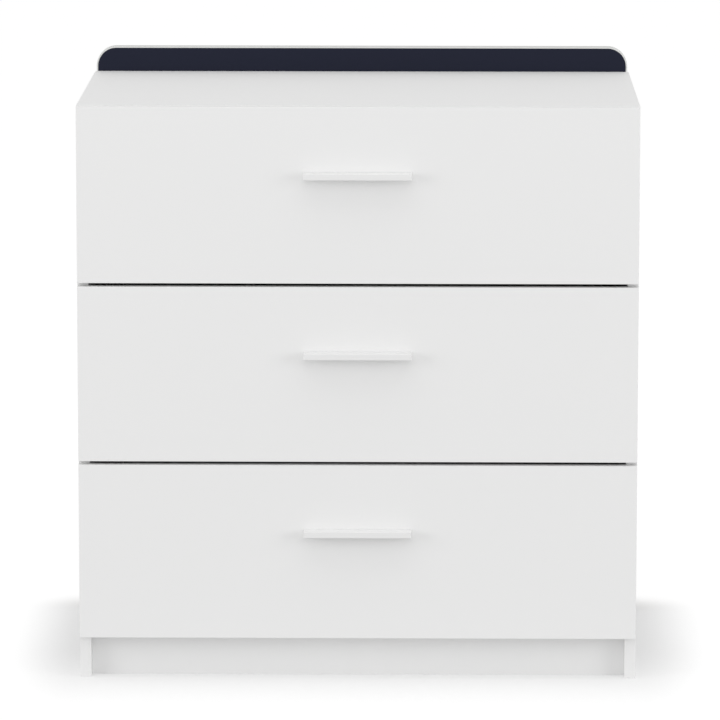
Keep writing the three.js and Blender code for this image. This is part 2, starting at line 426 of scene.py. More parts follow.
class Nodes:
    """A node tree, with short calls to add and join nodes."""

    def __init__(self, tree: bpy.types.NodeTree) -> None:
        """Wraps a tree and empties it."""
        self.tree = tree
        tree.nodes.clear()

    def add(
        self, kind: str, inputs: dict[str, object] | None = None, **settings: object
    ) -> bpy.types.Node:
        """Adds a node.

        Args:
            kind: Blender's name for the node, without the ShaderNode in front.
            inputs: Values, or sockets to join, by the name or number of the node's input.
            **settings: The node's own settings.

        Returns:
            The node.
        """
        node = self.tree.nodes.new(kind if kind.startswith("Node") else f"ShaderNode{kind}")
        for name, value in settings.items():
            setattr(node, name, value)
        for name, value in (inputs or {}).items():
            self.put(value, node.inputs[name])
        return node

    def put(self, value: object, target: Socket) -> None:
        """Joins a socket to an input, or sets the input to a value.

        Args:
            value: The socket or the value.
            target: The input.
        """
        if isinstance(value, Socket):
            self.tree.links.new(value, target)
        else:
            target.default_value = value

    def math(self, operation: str, *values: object) -> Socket:
        """Adds a Math node and returns its result."""
        return self.add("Math", dict(enumerate(values)), operation=operation).outputs[0]

    def noise(self, vector: Socket, **inputs: object) -> Socket:
        """Adds a noise and returns its value; its inputs are named in lower case."""
        named = {name.capitalize(): value for name, value in inputs.items()}
        return self.add("TexNoise", {"Vector": vector, **named}).outputs["Fac"]

    def remap(self, value: Socket, low: float, high: float) -> Socket:
        """Spreads a value of 0 to 1 over another range."""
        inputs = {"Value": value, "To Min": low, "To Max": high}
        return self.add("MapRange", inputs).outputs["Result"]

    def blend(self, factor: Socket, first: Color, second: Color) -> Socket:
        """Mixes two colours.

        Args:
            factor: Share of the second colour.
            first: The first colour.
            second: The second colour.

        Returns:
            The mixed colour.
        """
        factor_in, first_in, second_in, color_out = 0, 6, 7, 2
        inputs = {factor_in: factor, first_in: (*first, 1.0), second_in: (*second, 1.0)}
        return self.add("Mix", inputs, data_type="RGBA").outputs[color_out]


FLOAT = "NodeSocketFloat"
VECTOR = "NodeSocketVector"
COLOR = "NodeSocketColor"


class Effect:
    """A surface effect that several finishes share, held in a shader node group."""

    name = "effect"
    inputs: tuple[tuple[str, str], ...] = ()
    outputs: tuple[tuple[str, str], ...] = ()

    def group(self) -> bpy.types.NodeTree:
        """Builds the node group once, and returns it after that.

        Returns:
            The node group.
        """
        found = bpy.data.node_groups.get(self.name)
        if found:
            return found
        tree = bpy.data.node_groups.new(self.name, "ShaderNodeTree")
        for in_out, sockets in (("INPUT", self.inputs), ("OUTPUT", self.outputs)):
            for label, kind in sockets:
                tree.interface.new_socket(name=label, in_out=in_out, socket_type=kind)
        nodes = Nodes(tree)
        given = nodes.add("NodeGroupInput").outputs
        made = self.fill(nodes, given)
        nodes.add("NodeGroupOutput", made)
        return tree

    def fill(self, nodes: Nodes, given: Sockets) -> dict[str, object]:
        """Adds the group's nodes.

        Args:
            nodes: The group's tree.
            given: The group input's sockets.

        Returns:
            What goes to each output.
        """
        raise NotImplementedError

    def use(self, nodes: Nodes, **values: object) -> Sockets:
        """Places the group in a material.

        Args:
            nodes: The material's tree.
            **values: Inputs by name.

        Returns:
            The group node's outputs.
        """
        node = nodes.add("Group", node_tree=self.group())
        for name, value in values.items():
            nodes.put(value, node.inputs[name.capitalize()])
        return node.outputs


class PearlGrain(Effect):
    """The fine pearl that a press plate leaves in melamine, moulded plastic and powder coat."""

    name = "pearl_grain"
    inputs = (("Vector", VECTOR), ("Scale", FLOAT))
    outputs = (("Height", FLOAT),)

    def fill(self, nodes: Nodes, given: Sockets) -> dict[str, object]:
        """Mixes a soft noise with rounded cells.

        Args:
            nodes: The group's tree.
            given: The group input's sockets.

        Returns:
            What goes to each output.
        """
        noise = nodes.noise(given["Vector"], scale=given["Scale"], detail=3.0, roughness=0.55)
        wider = nodes.math("MULTIPLY", given["Scale"], 0.62)
        cells = nodes.add(
            "TexVoronoi", {"Vector": given["Vector"], "Scale": wider, "Randomness": 0.9}
        ).outputs["Distance"]
        pearl = nodes.math("MULTIPLY_ADD", cells, 0.6, nodes.math("MULTIPLY", noise, 0.5))
        return {"Height": pearl}


class ToneDrift(Effect):
    """Slow changes of tone over a surface, too faint to see as a pattern."""

    name = "tone_drift"
    inputs = (("Vector", VECTOR), ("Color", COLOR), ("Amount", FLOAT))
    outputs = (("Color", COLOR),)

    def fill(self, nodes: Nodes, given: Sockets) -> dict[str, object]:
        """Moves the colour's value up and down with two slow noises.

        Args:
            nodes: The group's tree.
            given: The group input's sockets.

        Returns:
            What goes to each output.
        """
        slow = nodes.noise(given["Vector"], scale=2.3, detail=2.0)
        fine = nodes.noise(given["Vector"], scale=41.0, detail=3.0)
        both = nodes.math("MULTIPLY_ADD", fine, 0.35, nodes.math("MULTIPLY", slow, 0.65))
        swing = nodes.math("MULTIPLY", nodes.math("SUBTRACT", both, 0.5), given["Amount"])
        value = nodes.math("ADD", swing, 1.0)
        shifted = nodes.add("HueSaturation", {"Color": given["Color"], "Value": value})
        return {"Color": shifted.outputs["Color"]}


class Handling(Effect):
    """Faint smears and wiped patches that change the gloss."""

    name = "handling"
    inputs = (("Vector", VECTOR), ("Base", FLOAT), ("Amount", FLOAT))
    outputs = (("Roughness", FLOAT),)

    def fill(self, nodes: Nodes, given: Sockets) -> dict[str, object]:
        """Adds stretched noise to the base roughness.

        Args:
            nodes: The group's tree.
            given: The group input's sockets.

        Returns:
            What goes to each output.
        """
        stretch = {"Vector": given["Vector"], "Scale": (1.0, 1.0, 2.6)}
        wiped = nodes.add("Mapping", stretch).outputs[0]
        smear = nodes.noise(wiped, scale=9.0, detail=4.0, distortion=0.7)
        swing = nodes.math("MULTIPLY", nodes.math("SUBTRACT", smear, 0.5), given["Amount"])
        return {"Roughness": nodes.math("ADD", swing, given["Base"])}


class PressedChips(Effect):
    """Wood particles pressed into board, as a sawn edge shows them."""

    name = "pressed_chips"
    inputs = (("Vector", VECTOR), ("Scale", FLOAT))
    outputs = (("Color", COLOR), ("Height", FLOAT))

    def fill(self, nodes: Nodes, given: Sockets) -> dict[str, object]:
        """Colours stretched cells from dark to pale wood, with pits between them.

        Args:
            nodes: The group's tree.
            given: The group input's sockets.

        Returns:
            What goes to each output.
        """
        warp = nodes.add("TexNoise", {"Vector": given["Vector"], "Scale": 90.0, "Detail": 2.0})
        bend = {0: warp.outputs["Color"], 1: (0.006, 0.006, 0.006)}
        bent = nodes.add("VectorMath", bend, operation="MULTIPLY").outputs[0]
        vector = nodes.add("VectorMath", {0: given["Vector"], 1: bent}, operation="ADD").outputs[0]
        cells = {"Vector": vector, "Scale": given["Scale"], "Randomness": 1.0}
        chips = nodes.add("TexVoronoi", cells)
        shade = nodes.add("SeparateColor", {"Color": chips.outputs["Color"]}).outputs[0]
        ramp = nodes.add("ValToRGB", {"Fac": shade})
        ramp.color_ramp.elements.new(0.5)
        tones = ((0.24, 0.155, 0.085, 1.0), (0.38, 0.275, 0.165, 1.0), (0.50, 0.385, 0.245, 1.0))
        for stop, tone in zip(ramp.color_ramp.elements, tones):
            stop.color = tone
        pits = nodes.math("MULTIPLY", chips.outputs["Distance"], -1.0)
        return {"Color": ramp.outputs["Color"], "Height": pits}


class FibreMat(Effect):
    """Short wood fibres felted into hardboard."""

    name = "fibre_mat"
    inputs = (("Vector", VECTOR), ("Scale", FLOAT))
    outputs = (("Mask", FLOAT), ("Height", FLOAT))

    def fill(self, nodes: Nodes, given: Sockets) -> dict[str, object]:
        """Crosses two stretched noises over a cloudy one.

        Args:
            nodes: The group's tree.
            given: The group input's sockets.

        Returns:
            What goes to each output.
        """
        strands = []
        for stretch in ((1.0, 1.0, 0.16), (0.16, 1.0, 1.0)):
            mapping = nodes.add("Mapping", {"Vector": given["Vector"], "Scale": stretch})
            strands.append(
                nodes.noise(mapping.outputs[0], scale=given["Scale"], detail=3.0, distortion=0.4)
            )
        felt = nodes.math("MULTIPLY", nodes.math("ADD", *strands), 0.5)
        cloud = nodes.noise(given["Vector"], scale=14.0, detail=4.0)
        mask = nodes.math("MULTIPLY_ADD", cloud, 0.25, nodes.math("MULTIPLY", felt, 0.75))
        return {"Mask": mask, "Height": felt}


class DrawnLines(Effect):
    """Fine lines along the length of extruded, rolled or drawn pieces."""

    name = "drawn_lines"
    inputs = (("Vector", VECTOR), ("Scale", FLOAT), ("Along", VECTOR))
    outputs = (("Height", FLOAT),)

    def fill(self, nodes: Nodes, given: Sockets) -> dict[str, object]:
        """Stretches a noise along one axis.

        Args:
            nodes: The group's tree.
            given: The group input's sockets.

        Returns:
            What goes to each output.
        """
        stretch = {0: given["Vector"], 1: given["Along"]}
        vector = nodes.add("VectorMath", stretch, operation="MULTIPLY").outputs[0]
        return {"Height": nodes.noise(vector, scale=given["Scale"], detail=4.0)}


# ------------------------------------------------------------------------------- finishes


@dataclass(frozen=True)
class Finish:
    """A finish that pieces are given.

    Attributes:
        name: The material's name.
        color: Base colour, linear.
        roughness: Middle roughness.
        drift: How far the tone drifts.
        swing: How far handling changes the roughness.
        depth: Depth of the relief in metres.
    """

    name: str
    color: Color
    roughness: float
    drift: float = 0.02
    swing: float = 0.10
    depth: float = 0.00002

    @cache
    def material(self) -> bpy.types.Material:
        """Builds the material once, and returns it after that.

        Returns:
            The material.
        """
        material = bpy.data.materials.new(self.name)
        material.use_nodes = True
        material.diffuse_color = (*self.color, 1.0)
        nodes = Nodes(material.node_tree)
        shader = nodes.add("BsdfPrincipled")
        nodes.add("OutputMaterial", {"Surface": shader.outputs[0]})
        where = nodes.add("TexCoord").outputs["Object"]
        self.dress(nodes, shader, where)
        return material

    def dress(self, nodes: Nodes, shader: bpy.types.Node, where: Socket) -> None:
        """Joins the finish's pattern to the shader.

        Args:
            nodes: The material's tree.
            shader: Its Principled BSDF.
            where: Object coordinates.
        """
        raise NotImplementedError

    def tint(self, nodes: Nodes, shader: bpy.types.Node, where: Socket) -> None:
        """Joins the base colour, with its slow drift of tone."""
        toned = ToneDrift().use(nodes, vector=where, color=(*self.color, 1.0), amount=self.drift)
        nodes.put(toned["Color"], shader.inputs["Base Color"])

    def gloss(self, nodes: Nodes, shader: bpy.types.Node, where: Socket) -> None:
        """Joins the roughness, with handling marks."""
        marks = Handling().use(nodes, vector=where, base=self.roughness, amount=self.swing)
        nodes.put(marks["Roughness"], shader.inputs["Roughness"])

    def relief(self, nodes: Nodes, shader: bpy.types.Node, height: Socket) -> None:
        """Joins a height as a bump of the finish's depth."""
        bump = nodes.add("Bump", {"Strength": 1.0, "Distance": self.depth, "Height": height})
        nodes.put(bump.outputs["Normal"], shader.inputs["Normal"])


@dataclass(frozen=True)
class Pearled(Finish):
    """Melamine, moulded plastic or powder coat, with a fine pearl.

    Attributes:
        pearl: Pearl cells per metre.
        coat: Weight of a clear gloss coat.
        coat_roughness: Its roughness.
        shine: Specular level, 0.5 for common plastic.
    """

    drift: float = 0.012
    pearl: float = 900.0
    coat: float = 0.0
    coat_roughness: float = 0.18
    shine: float = 0.5

    def dress(self, nodes: Nodes, shader: bpy.types.Node, where: Socket) -> None:
        """Joins tone, gloss and pearl.

        Args:
            nodes: The material's tree.
            shader: Its Principled BSDF.
            where: Object coordinates.
        """
        shader.inputs["Specular IOR Level"].default_value = self.shine
        shader.inputs["Coat Weight"].default_value = self.coat
        shader.inputs["Coat Roughness"].default_value = self.coat_roughness
        self.tint(nodes, shader, where)
        self.gloss(nodes, shader, where)
        pearl = PearlGrain().use(nodes, vector=where, scale=self.pearl)
        self.relief(nodes, shader, pearl["Height"])


@dataclass(frozen=True)
class Banded(Finish):
    """Extruded edge banding or strip, with fine lines along it.

    Attributes:
        along: Noise stretch on each axis, small along the length.
        lines: Lines per metre across the width.
    """

    swing: float = 0.08
    depth: float = 0.000015
    along: Stretch = (1.0, 1.0, 1.0)
    lines: float = 1400.0

    def dress(self, nodes: Nodes, shader: bpy.types.Node, where: Socket) -> None:
        """Joins tone, gloss and the drawn lines.

        Args:
            nodes: The material's tree.
            shader: Its Principled BSDF.
            where: Object coordinates.
        """
        self.tint(nodes, shader, where)
        self.gloss(nodes, shader, where)
        drawn = DrawnLines().use(nodes, vector=where, scale=self.lines, along=self.along)
        self.relief(nodes, shader, drawn["Height"])


@dataclass(frozen=True)
class SawnBoard(Finish):
    """The sawn edge of chipboard.

    Attributes:
        chips: Wood chips per metre.
    """

    depth: float = 0.0002
    chips: float = 420.0

    def dress(self, nodes: Nodes, shader: bpy.types.Node, where: Socket) -> None:
        """Joins the chips' colours and pits.

        Args:
            nodes: The material's tree.
            shader: Its Principled BSDF.
            where: Object coordinates.
        """
        chips = PressedChips().use(nodes, vector=where, scale=self.chips)
        nodes.put(chips["Color"], shader.inputs["Base Color"])
        self.gloss(nodes, shader, where)
        self.relief(nodes, shader, chips["Height"])


@dataclass(frozen=True)
class Fibreboard(Finish):
    """Hardboard, bare or with a thin lacquer.

    Attributes:
        dark: Colour of the darker fibres.
        fibres: Fibres per metre.
    """

    swing: float = 0.12
    depth: float = 0.00006
    dark: Color = (0.2, 0.12, 0.06)
    fibres: float = 900.0

    def dress(self, nodes: Nodes, shader: bpy.types.Node, where: Socket) -> None:
        """Joins the felted fibres.

        Args:
            nodes: The material's tree.
            shader: Its Principled BSDF.
            where: Object coordinates.
        """
        mat = FibreMat().use(nodes, vector=where, scale=self.fibres)
        spread = nodes.remap(mat["Mask"], -0.6, 1.6)
        nodes.put(nodes.blend(spread, self.dark, self.color), shader.inputs["Base Color"])
        self.gloss(nodes, shader, where)
        self.relief(nodes, shader, mat["Height"])


@dataclass(frozen=True)
class PlatedMetal(Finish):
    """Zinc-plated steel or die-cast zinc.

    Attributes:
        spangle: Grains per metre.
    """

    drift: float = 0.25
    swing: float = 0.25
    depth: float = 0.00003
    spangle: float = 2600.0

    def dress(self, nodes: Nodes, shader: bpy.types.Node, where: Socket) -> None:
        """Joins spangle, gloss and drawing marks.

        Args:
            nodes: The material's tree.
            shader: Its Principled BSDF.
            where: Object coordinates.
        """
        shader.inputs["Metallic"].default_value = 1.0
        self.tint(nodes, shader, where)
        self.gloss(nodes, shader, where)
        even = (1.0, 1.0, 1.0)
        drawn = DrawnLines().use(nodes, vector=where, scale=self.spangle, along=even)
        self.relief(nodes, shader, drawn["Height"])


@dataclass(frozen=True)
class SoftPlastic(Finish):
    """Natural nylon or milky bumper plastic that light enters a little way.

    Attributes:
        glow: Subsurface weight.
        reach: How far light enters, in metres.
        pearl: Cells of the moulded texture per metre.
    """

    drift: float = 0.03
    swing: float = 0.08
    depth: float = 0.00001
    glow: float = 0.3
    reach: float = 0.002
    pearl: float = 1600.0

    def dress(self, nodes: Nodes, shader: bpy.types.Node, where: Socket) -> None:
        """Joins tone, gloss and a moulded texture.

        Args:
            nodes: The material's tree.
            shader: Its Principled BSDF.
            where: Object coordinates.
        """
        shader.inputs["Subsurface Weight"].default_value = self.glow
        shader.inputs["Subsurface Scale"].default_value = self.reach
        self.tint(nodes, shader, where)
        self.gloss(nodes, shader, where)
        pearl = PearlGrain().use(nodes, vector=where, scale=self.pearl)
        self.relief(nodes, shader, pearl["Height"])


WHITE_MELAMINE = Pearled("pearl_white_melamine", (0.88, 0.88, 0.878), 0.55, shine=0.35)
WHITE_BAND = Pearled(
    "white_edge_band", (0.89, 0.89, 0.887), 0.45, pearl=1500.0, depth=0.00001, shine=0.35
)
DRAWER_FOIL = Pearled("white_drawer_foil", (0.88, 0.88, 0.87), 0.5, pearl=700.0, drift=0.02)
NAVY_MELAMINE = Pearled(
    "pearl_navy_melamine", (0.0149, 0.0171, 0.0325), 0.45, depth=0.00003, drift=0.10, shine=0.1
)
PALE_BAND = Banded("pale_thick_band", (0.68, 0.685, 0.672), 0.40, along=(0.02, 1.0, 0.02))
JOINT_STRIP = Banded("joint_strip", (0.72, 0.72, 0.69), 0.42, along=(0.02, 1.0, 1.0))
SAWN_CHIPBOARD = SawnBoard("sawn_chipboard", (0.42, 0.30, 0.18), 0.85)
WHITE_HARDBOARD = Fibreboard(
    "lacquered_hardboard", (0.86, 0.855, 0.84), 0.55, depth=0.00002, dark=(0.80, 0.79, 0.77)
)
BARE_HARDBOARD = Fibreboard(
    "bare_hardboard", (0.36, 0.235, 0.13), 0.8, dark=(0.16, 0.09, 0.045)
)
HANDLE_PLASTIC = Pearled(
    "white_handle_plastic", (0.86, 0.86, 0.857), 0.42, pearl=2200.0, depth=0.000012
)
RUNNER_COAT = Pearled(
    "runner_coat", (0.76, 0.76, 0.73), 0.36, pearl=800.0, depth=0.000015, coat=0.2
)
ROLLER_NYLON = SoftPlastic("roller_nylon", (0.62, 0.61, 0.57), 0.38)
BUMPER_PLASTIC = SoftPlastic("milky_bumper_plastic", (0.80, 0.81, 0.80), 0.30)
ZINC_PLATE = PlatedMetal("zinc_plate", (0.60, 0.61, 0.63), 0.32)
CAST_ZINC = PlatedMetal("cast_zinc", (0.50, 0.50, 0.50), 0.45)


# ------------------------------------------------------------------------------- boards


@dataclass
class Board:
    """A board cut to size, with banding on the edges that show and a sawn face on the others.

    Attributes:
        node: The frame node that gives its place.
        name: The piece's name.
        through: The axis through its thickness.
        banded: Its banded edges, as (axis, sign).
        groove: Upright groove in one of its X faces, from low corner to high corner.
        radius: Rounding of its edges.
        band: Thickness of the banding.
        reach: How far both ends go on past the node, to close a joint.
    """

    node: str
    name: str
    through: Axis
    banded: tuple[tuple[Axis, int], ...] = ()
    groove: Box | None = None
    radius: float = 0.5 * MM
    band: float = 0.8 * MM
    reach: float = 0.0

    def section(self, low: Vector, high: Vector) -> Profile:
        """The board's section across its groove.

        Args:
            low: The board's lowest corner.
            high: The board's highest corner.

        Returns:
            Corners on X and Y, in order round the section.
        """
        cut_low, cut_high = self.groove
        on_high = cut_high.x >= high.x
        face, back = (high.x, low.x) if on_high else (low.x, high.x)
        floor = cut_low.x if on_high else cut_high.x
        return (
            (back, low.y), (face, low.y), (face, cut_low.y), (floor, cut_low.y),
            (floor, cut_high.y), (face, cut_high.y), (face, high.y), (back, high.y),
        )

    def clear_of_groove(self, edge: Edge) -> bool:
        """Whether an edge is away from the groove."""
        middle = (edge.verts[0].co + edge.verts[1].co) / 2
        return not self.within_groove(middle, 5 * TOUCH)

    def in_groove(self, face: Face) -> bool:
        """Whether a face is one of the groove's walls."""
        return self.within_groove(face.calc_center_median(), TOUCH)

    def within_groove(self, point: Vector, margin: float) -> bool:
        """Whether a point is in the groove or on its walls.

        Args:
            point: The point.
            margin: How far outside the groove still counts.

        Returns:
            True in the groove, and False on a board that has none.
        """
        if self.groove is None:
            return False
        return inside(point, grown_box(self.groove, margin), Axis.Z.others)

    def solid(self) -> Solid:
        """Shapes the board and paints its edges.

        Returns:
            The board, with its finishes in the order of Skin.
        """
        low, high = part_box(self.node)
        low.x -= self.reach
        high.x += self.reach
        if self.groove is None:
            board = Solid.box(low, high)
        else:
            board = Solid.prism(self.section(low, high), Axis.Z, low.z, high.z)
        board.round_edges(self.radius, test=self.clear_of_groove)
        ends = {-1: low, 1: high}
        for axis, sign in self.banded:
            board.score(axis, ends[sign][axis.value] - sign * self.band)
        for axis, sign in product(Axis, ends):
            if axis is not self.through:
                banded = (axis, sign) in self.banded
                reach = self.band + TOUCH if banded else TOUCH
                skin = Skin.BAND if banded else Skin.SAWN
                board.paint(skin, near_plane(axis, ends[sign][axis.value], reach))
        board.paint(Skin.SAWN, self.in_groove)
        return board

    def build(self, body: str) -> bpy.types.Object:
        """Makes the piece on a body."""
        return self.finish(self.solid(), body)

    def finish(self, board: Solid, body: str) -> bpy.types.Object:
        """Makes the piece from a solid that may have been cut further."""
        finishes = (WHITE_MELAMINE, WHITE_BAND, SAWN_CHIPBOARD)
        return board.piece(self.name, body, finishes, "white_melamine", [self.node])


@dataclass
class HardboardSheet:
    """A thin hardboard sheet, lacquered white on one face and bare on the other.

    Attributes:
        node: The frame node that gives its place.
        name: The piece's name.
        show: The direction that the white face looks.
        arris: Rounding of its edges.
    """

    node: str
    name: str
    show: Vector
    arris: float = 0.2 * MM

    def build(self, body: str) -> bpy.types.Object:
        """Makes the sheet.

        Args:
            body: The frame body that it rides on.

        Returns:
            The piece.
        """
        sheet = Solid.box(*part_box(self.node))
        sheet.round_edges(self.arris, segments=1)
        sheet.paint(SECOND_FINISH, lambda face: face.normal.dot(self.show) < 0.5)
        finishes = (WHITE_HARDBOARD, BARE_HARDBOARD)
        return sheet.piece(self.name, body, finishes, "white_hardboard", [self.node])


# ------------------------------------------------------------------------------- small fittings


@dataclass
class CrossHead:
    """A turned head with a cross recess, standing on its base with its axis up.

    Attributes:
        radius: Radius of the head.
        height: Height above the base.
        crown: Radius of the flat on top.
        arm: Half length of the recess's arms.
        width: Half width of the arms.
        depth: Depth of the recess.
        steps: Steps round the head, a multiple of 12.
        draft: Size of the recess's floor against its mouth.
    """

    radius: float
    height: float
    crown: float
    arm: float
    width: float
    depth: float
    steps: int = 24
    draft: float = 0.72

    def solid(self) -> Solid:
        """Shapes the head.

        Returns:
            The closed head.
        """
        head = Solid()
        bm = head.bm
        shoulder = self.height * 0.55
        slope = ((self.radius * 2 + self.crown) / 3, self.height * 0.88)
        head.spin(
            ((self.radius, 0.0), (self.radius, shoulder), slope, (self.crown, self.height)),
            self.steps,
        )
        open_edges = [edge for edge in bm.edges if edge.is_boundary]
        base = [edge for edge in open_edges if edge.verts[0].co.z < shoulder / 2]
        ring = [edge for edge in open_edges if edge not in base]
        bmesh.ops.edgeloop_fill(bm, edges=base)
        rim = self.recess_rim(bm)
        bmesh.ops.bridge_loops(bm, edges=ring + rim)
        grown = bmesh.ops.extrude_edge_only(bm, edges=rim)["geom"]
        floor = [item for item in grown if isinstance(item, Vert)]
        bmesh.ops.translate(bm, verts=floor, vec=(0, 0, -self.depth))
        bmesh.ops.scale(bm, verts=floor, vec=(self.draft, self.draft, 1.0))
        bmesh.ops.edgeloop_fill(bm, edges=[edge for edge in bm.edges if edge.is_boundary])
        head.face_outwards()
        return head

    def recess_rim(self, bm: bmesh.types.BMesh) -> list[Edge]:
        """Draws the cross on top of the head.

        Args:
            bm: The head's mesh.

        Returns:
            The twelve edges of the cross.
        """
        top = Vector((0, 0, self.height))
        mouth = bmesh.ops.create_circle(
            bm, cap_ends=False, radius=self.arm, segments=12, matrix=Matrix.Translation(top)
        )["verts"]
        corners = ((self.arm, -self.width), (self.arm, self.width), (self.width, self.width))
        for index, vert in enumerate(mouth):
            arm, corner = divmod(index, 3)
            turn = Matrix.Rotation(math.tau / 4 * arm, 3, "Z")
            vert.co = turn @ Vector((*corners[corner], self.height))
        return [edge for edge in bm.edges if edge.is_wire]


PAN_HEAD = CrossHead(4.0 * MM, 2.2 * MM, 2.6 * MM, 1.9 * MM, 0.5 * MM, 1.3 * MM)
FLAT_HEAD = CrossHead(3.4 * MM, 0.35 * MM, 3.1 * MM, 1.7 * MM, 0.45 * MM, 0.3 * MM)
CAM_FACE = CrossHead(6.0 * MM, 0.3 * MM, 5.6 * MM, 3.2 * MM, 0.9 * MM, 0.28 * MM, steps=36)


# ------------------------------------------------------------------------------- carcass


@dataclass
class Carcass:
    """Side panels, top, bottom and plinths, with the fittings on them.

    Attributes:
        groove_depth: Depth of the back panel's groove.
        groove_slack: Room on each side of the back panel in its groove.
        cam_inset: Distance of a cam from the edge of its board.
        front_cams: From the side panel's front edge to the front cams.
        rear_cams: From its rear edge to the rear cams.
        bumper_radius: Radius of a door bumper.
        bumper_height: Its thickness.
        bumper_drop: From a front's upper edge down to its bumper.
        tight: Rounding of the boards that butt against the side panels.
        butt: How far their ends go on to close the joint.
    """

    groove_depth: float = 6 * MM
    groove_slack: float = 0.3 * MM
    cam_inset: float = 34 * MM
    front_cams: float = 60 * MM
    rear_cams: float = 90 * MM
    bumper_radius: float = 4 * MM
    bumper_height: float = 0.85 * MM
    bumper_drop: float = 22 * MM
    tight: float = 0.12 * MM
    butt: float = 0.25 * MM

    def build(self) -> None:
        """Makes every piece of the carcass."""
        for side in Side:
            self.side_board(side)
        round_the_edge = tuple((axis, sign) for axis in (Axis.X, Axis.Y) for sign in (-1, 1))
        Board("top_panel", "top_board", Axis.Z, round_the_edge).build(CABINET)
        for node, name, through, banded in (
            ("bottom_panel", "bottom_board", Axis.Z, ((Axis.Y, -1),)),
            ("plinth_front", "front_plinth_board", Axis.Y, ()),
            ("plinth_rear", "rear_plinth_board", Axis.Y, ()),
        ):
            Board(node, name, through, banded, radius=self.tight, reach=self.butt).build(CABINET)
        self.cams()
        self.bumpers()

    def side_board(self, side: Side) -> None:
        """Makes one side panel, with the groove that holds the back.

        Args:
            side: Which panel.
        """
        node = f"{side.label}_side_panel"
        low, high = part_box(node)
        back_low, back_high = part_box("back_panel_lower")
        inner = side.inner((low, high))
        left, right = sorted((inner, inner + side.value * self.groove_depth))
        groove = (
            Vector((left, back_low.y - self.groove_slack, low.z)),
            Vector((right, back_high.y + self.groove_slack, high.z)),
        )
        name = f"{side.label}_side_board"
        Board(node, name, Axis.X, ((Axis.Y, -1),), groove).build(CABINET)

    def cams(self) -> None:
        """Makes the cam fittings that lock the side panels to the top and the bottom panel."""
        cams = Solid()
        front, rear = (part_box("left_side_panel")[i].y for i in (0, 1))
        rows = (front + self.front_cams, rear - self.rear_cams)
        under_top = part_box("top_panel")[0].z - self.cam_inset
        under_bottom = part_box("bottom_panel")[0].z
        for side in Side:
            inner = side.inner(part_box(f"{side.label}_side_panel"))
            upper = [(inner, y, under_top) for y in rows]
            lower = [(inner - side.value * self.cam_inset, y, under_bottom) for y in rows]
            cams.add(CAM_FACE.solid(), stations(upper, Axis.X, -side.value))
            cams.add(CAM_FACE.solid(), stations(lower, Axis.Z, -1))
        cams.piece("carcass_cams", CABINET, (CAST_ZINC,), "zinc_steel")

    def bumpers(self) -> None:
        """Makes the bumpers that the closed drawer fronts rest against."""
        radius, height = self.bumper_radius, self.bumper_height
        dome = Solid.turned((
            (0.0, 0.0), (radius, 0.0), (radius, height * 0.4), (radius * 0.75, height * 0.9),
            (0.0, height),
        ), steps=20)
        points = []
        for side in Side:
            low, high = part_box(f"{side.label}_side_panel")
            for level in Level:
                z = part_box(level.node("front"))[1].z - self.bumper_drop
                points.append(((low.x + high.x) / 2, low.y, min(z, high.z - self.bumper_drop / 2)))
        bumpers = Solid().add(dome, stations(points, Axis.Y, -1))
        bumpers.piece("drawer_bumpers", CABINET, (BUMPER_PLASTIC,), "roller_plastic")


@dataclass
class Back:
    """The hardboard back, the strip between its halves and its nails.

    Attributes:
        nail_radius: Radius of a nail's head.
        nail_count: Nails along the lower edge.
        nail_inset: Distance of the outer nails from the sheet's ends.
        web: Half thickness of the strip's web.
        room: Room on each side of a sheet in the strip.
        arris: Rounding of the strip's edges.
    """

    nail_radius: float = 2.2 * MM
    nail_count: int = 6
    nail_inset: float = 30 * MM
    web: float = 0.75 * MM
    room: float = 0.3 * MM
    arris: float = 0.3 * MM

    def build(self) -> None:
        """Makes every piece of the back."""
        inwards = Vector((0, -1, 0))
        HardboardSheet("back_panel_lower", "lower_back_sheet", inwards).build(CABINET)
        HardboardSheet("back_panel_upper", "upper_back_sheet", inwards).build(CABINET)
        self.strip()
        self.nails()

    def strip(self) -> None:
        """Makes the H-shaped strip that the two halves slide into."""
        low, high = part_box("back_joint_strip")
        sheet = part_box("back_panel_lower")
        middle = (low.z + high.z) / 2
        under, over = middle - self.web, middle + self.web
        front, rear = sheet[0].y - self.room, sheet[1].y + self.room
        section = (
            (low.y, low.z), (front, low.z), (front, under), (rear, under),
            (rear, low.z), (high.y, low.z), (high.y, high.z), (rear, high.z),
            (rear, over), (front, over), (front, high.z), (low.y, high.z),
        )
        strip = Solid.prism(section, Axis.X, low.x, high.x)
        strip.round_edges(self.arris)
        strip.piece(
            "back_strip", CABINET, (JOINT_STRIP,), "joint_strip_plastic", ["back_joint_strip"]
        )

    def nails(self) -> None:
        """Makes the nails that hold the lower half to the bottom panel."""
        radius = self.nail_radius
        head = Solid.turned((
            (0.0, 0.0), (radius, 0.0), (radius, radius * 0.25), (radius * 0.7, radius * 0.42),
            (0.0, radius * 0.5),
        ), steps=16)
        low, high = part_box("back_panel_lower")
        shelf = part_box("bottom_panel")
        height = (shelf[0].z + shelf[1].z) / 2
        first = low.x + self.nail_inset
        step = (high.x - self.nail_inset - first) / (self.nail_count - 1)
        points = [(first + step * i, high.y, height) for i in range(self.nail_count)]
        nails = Solid().add(head, stations(points, Axis.Y, 1))
        nails.piece("back_nails", CABINET, (ZINC_PLATE,), "zinc_steel")


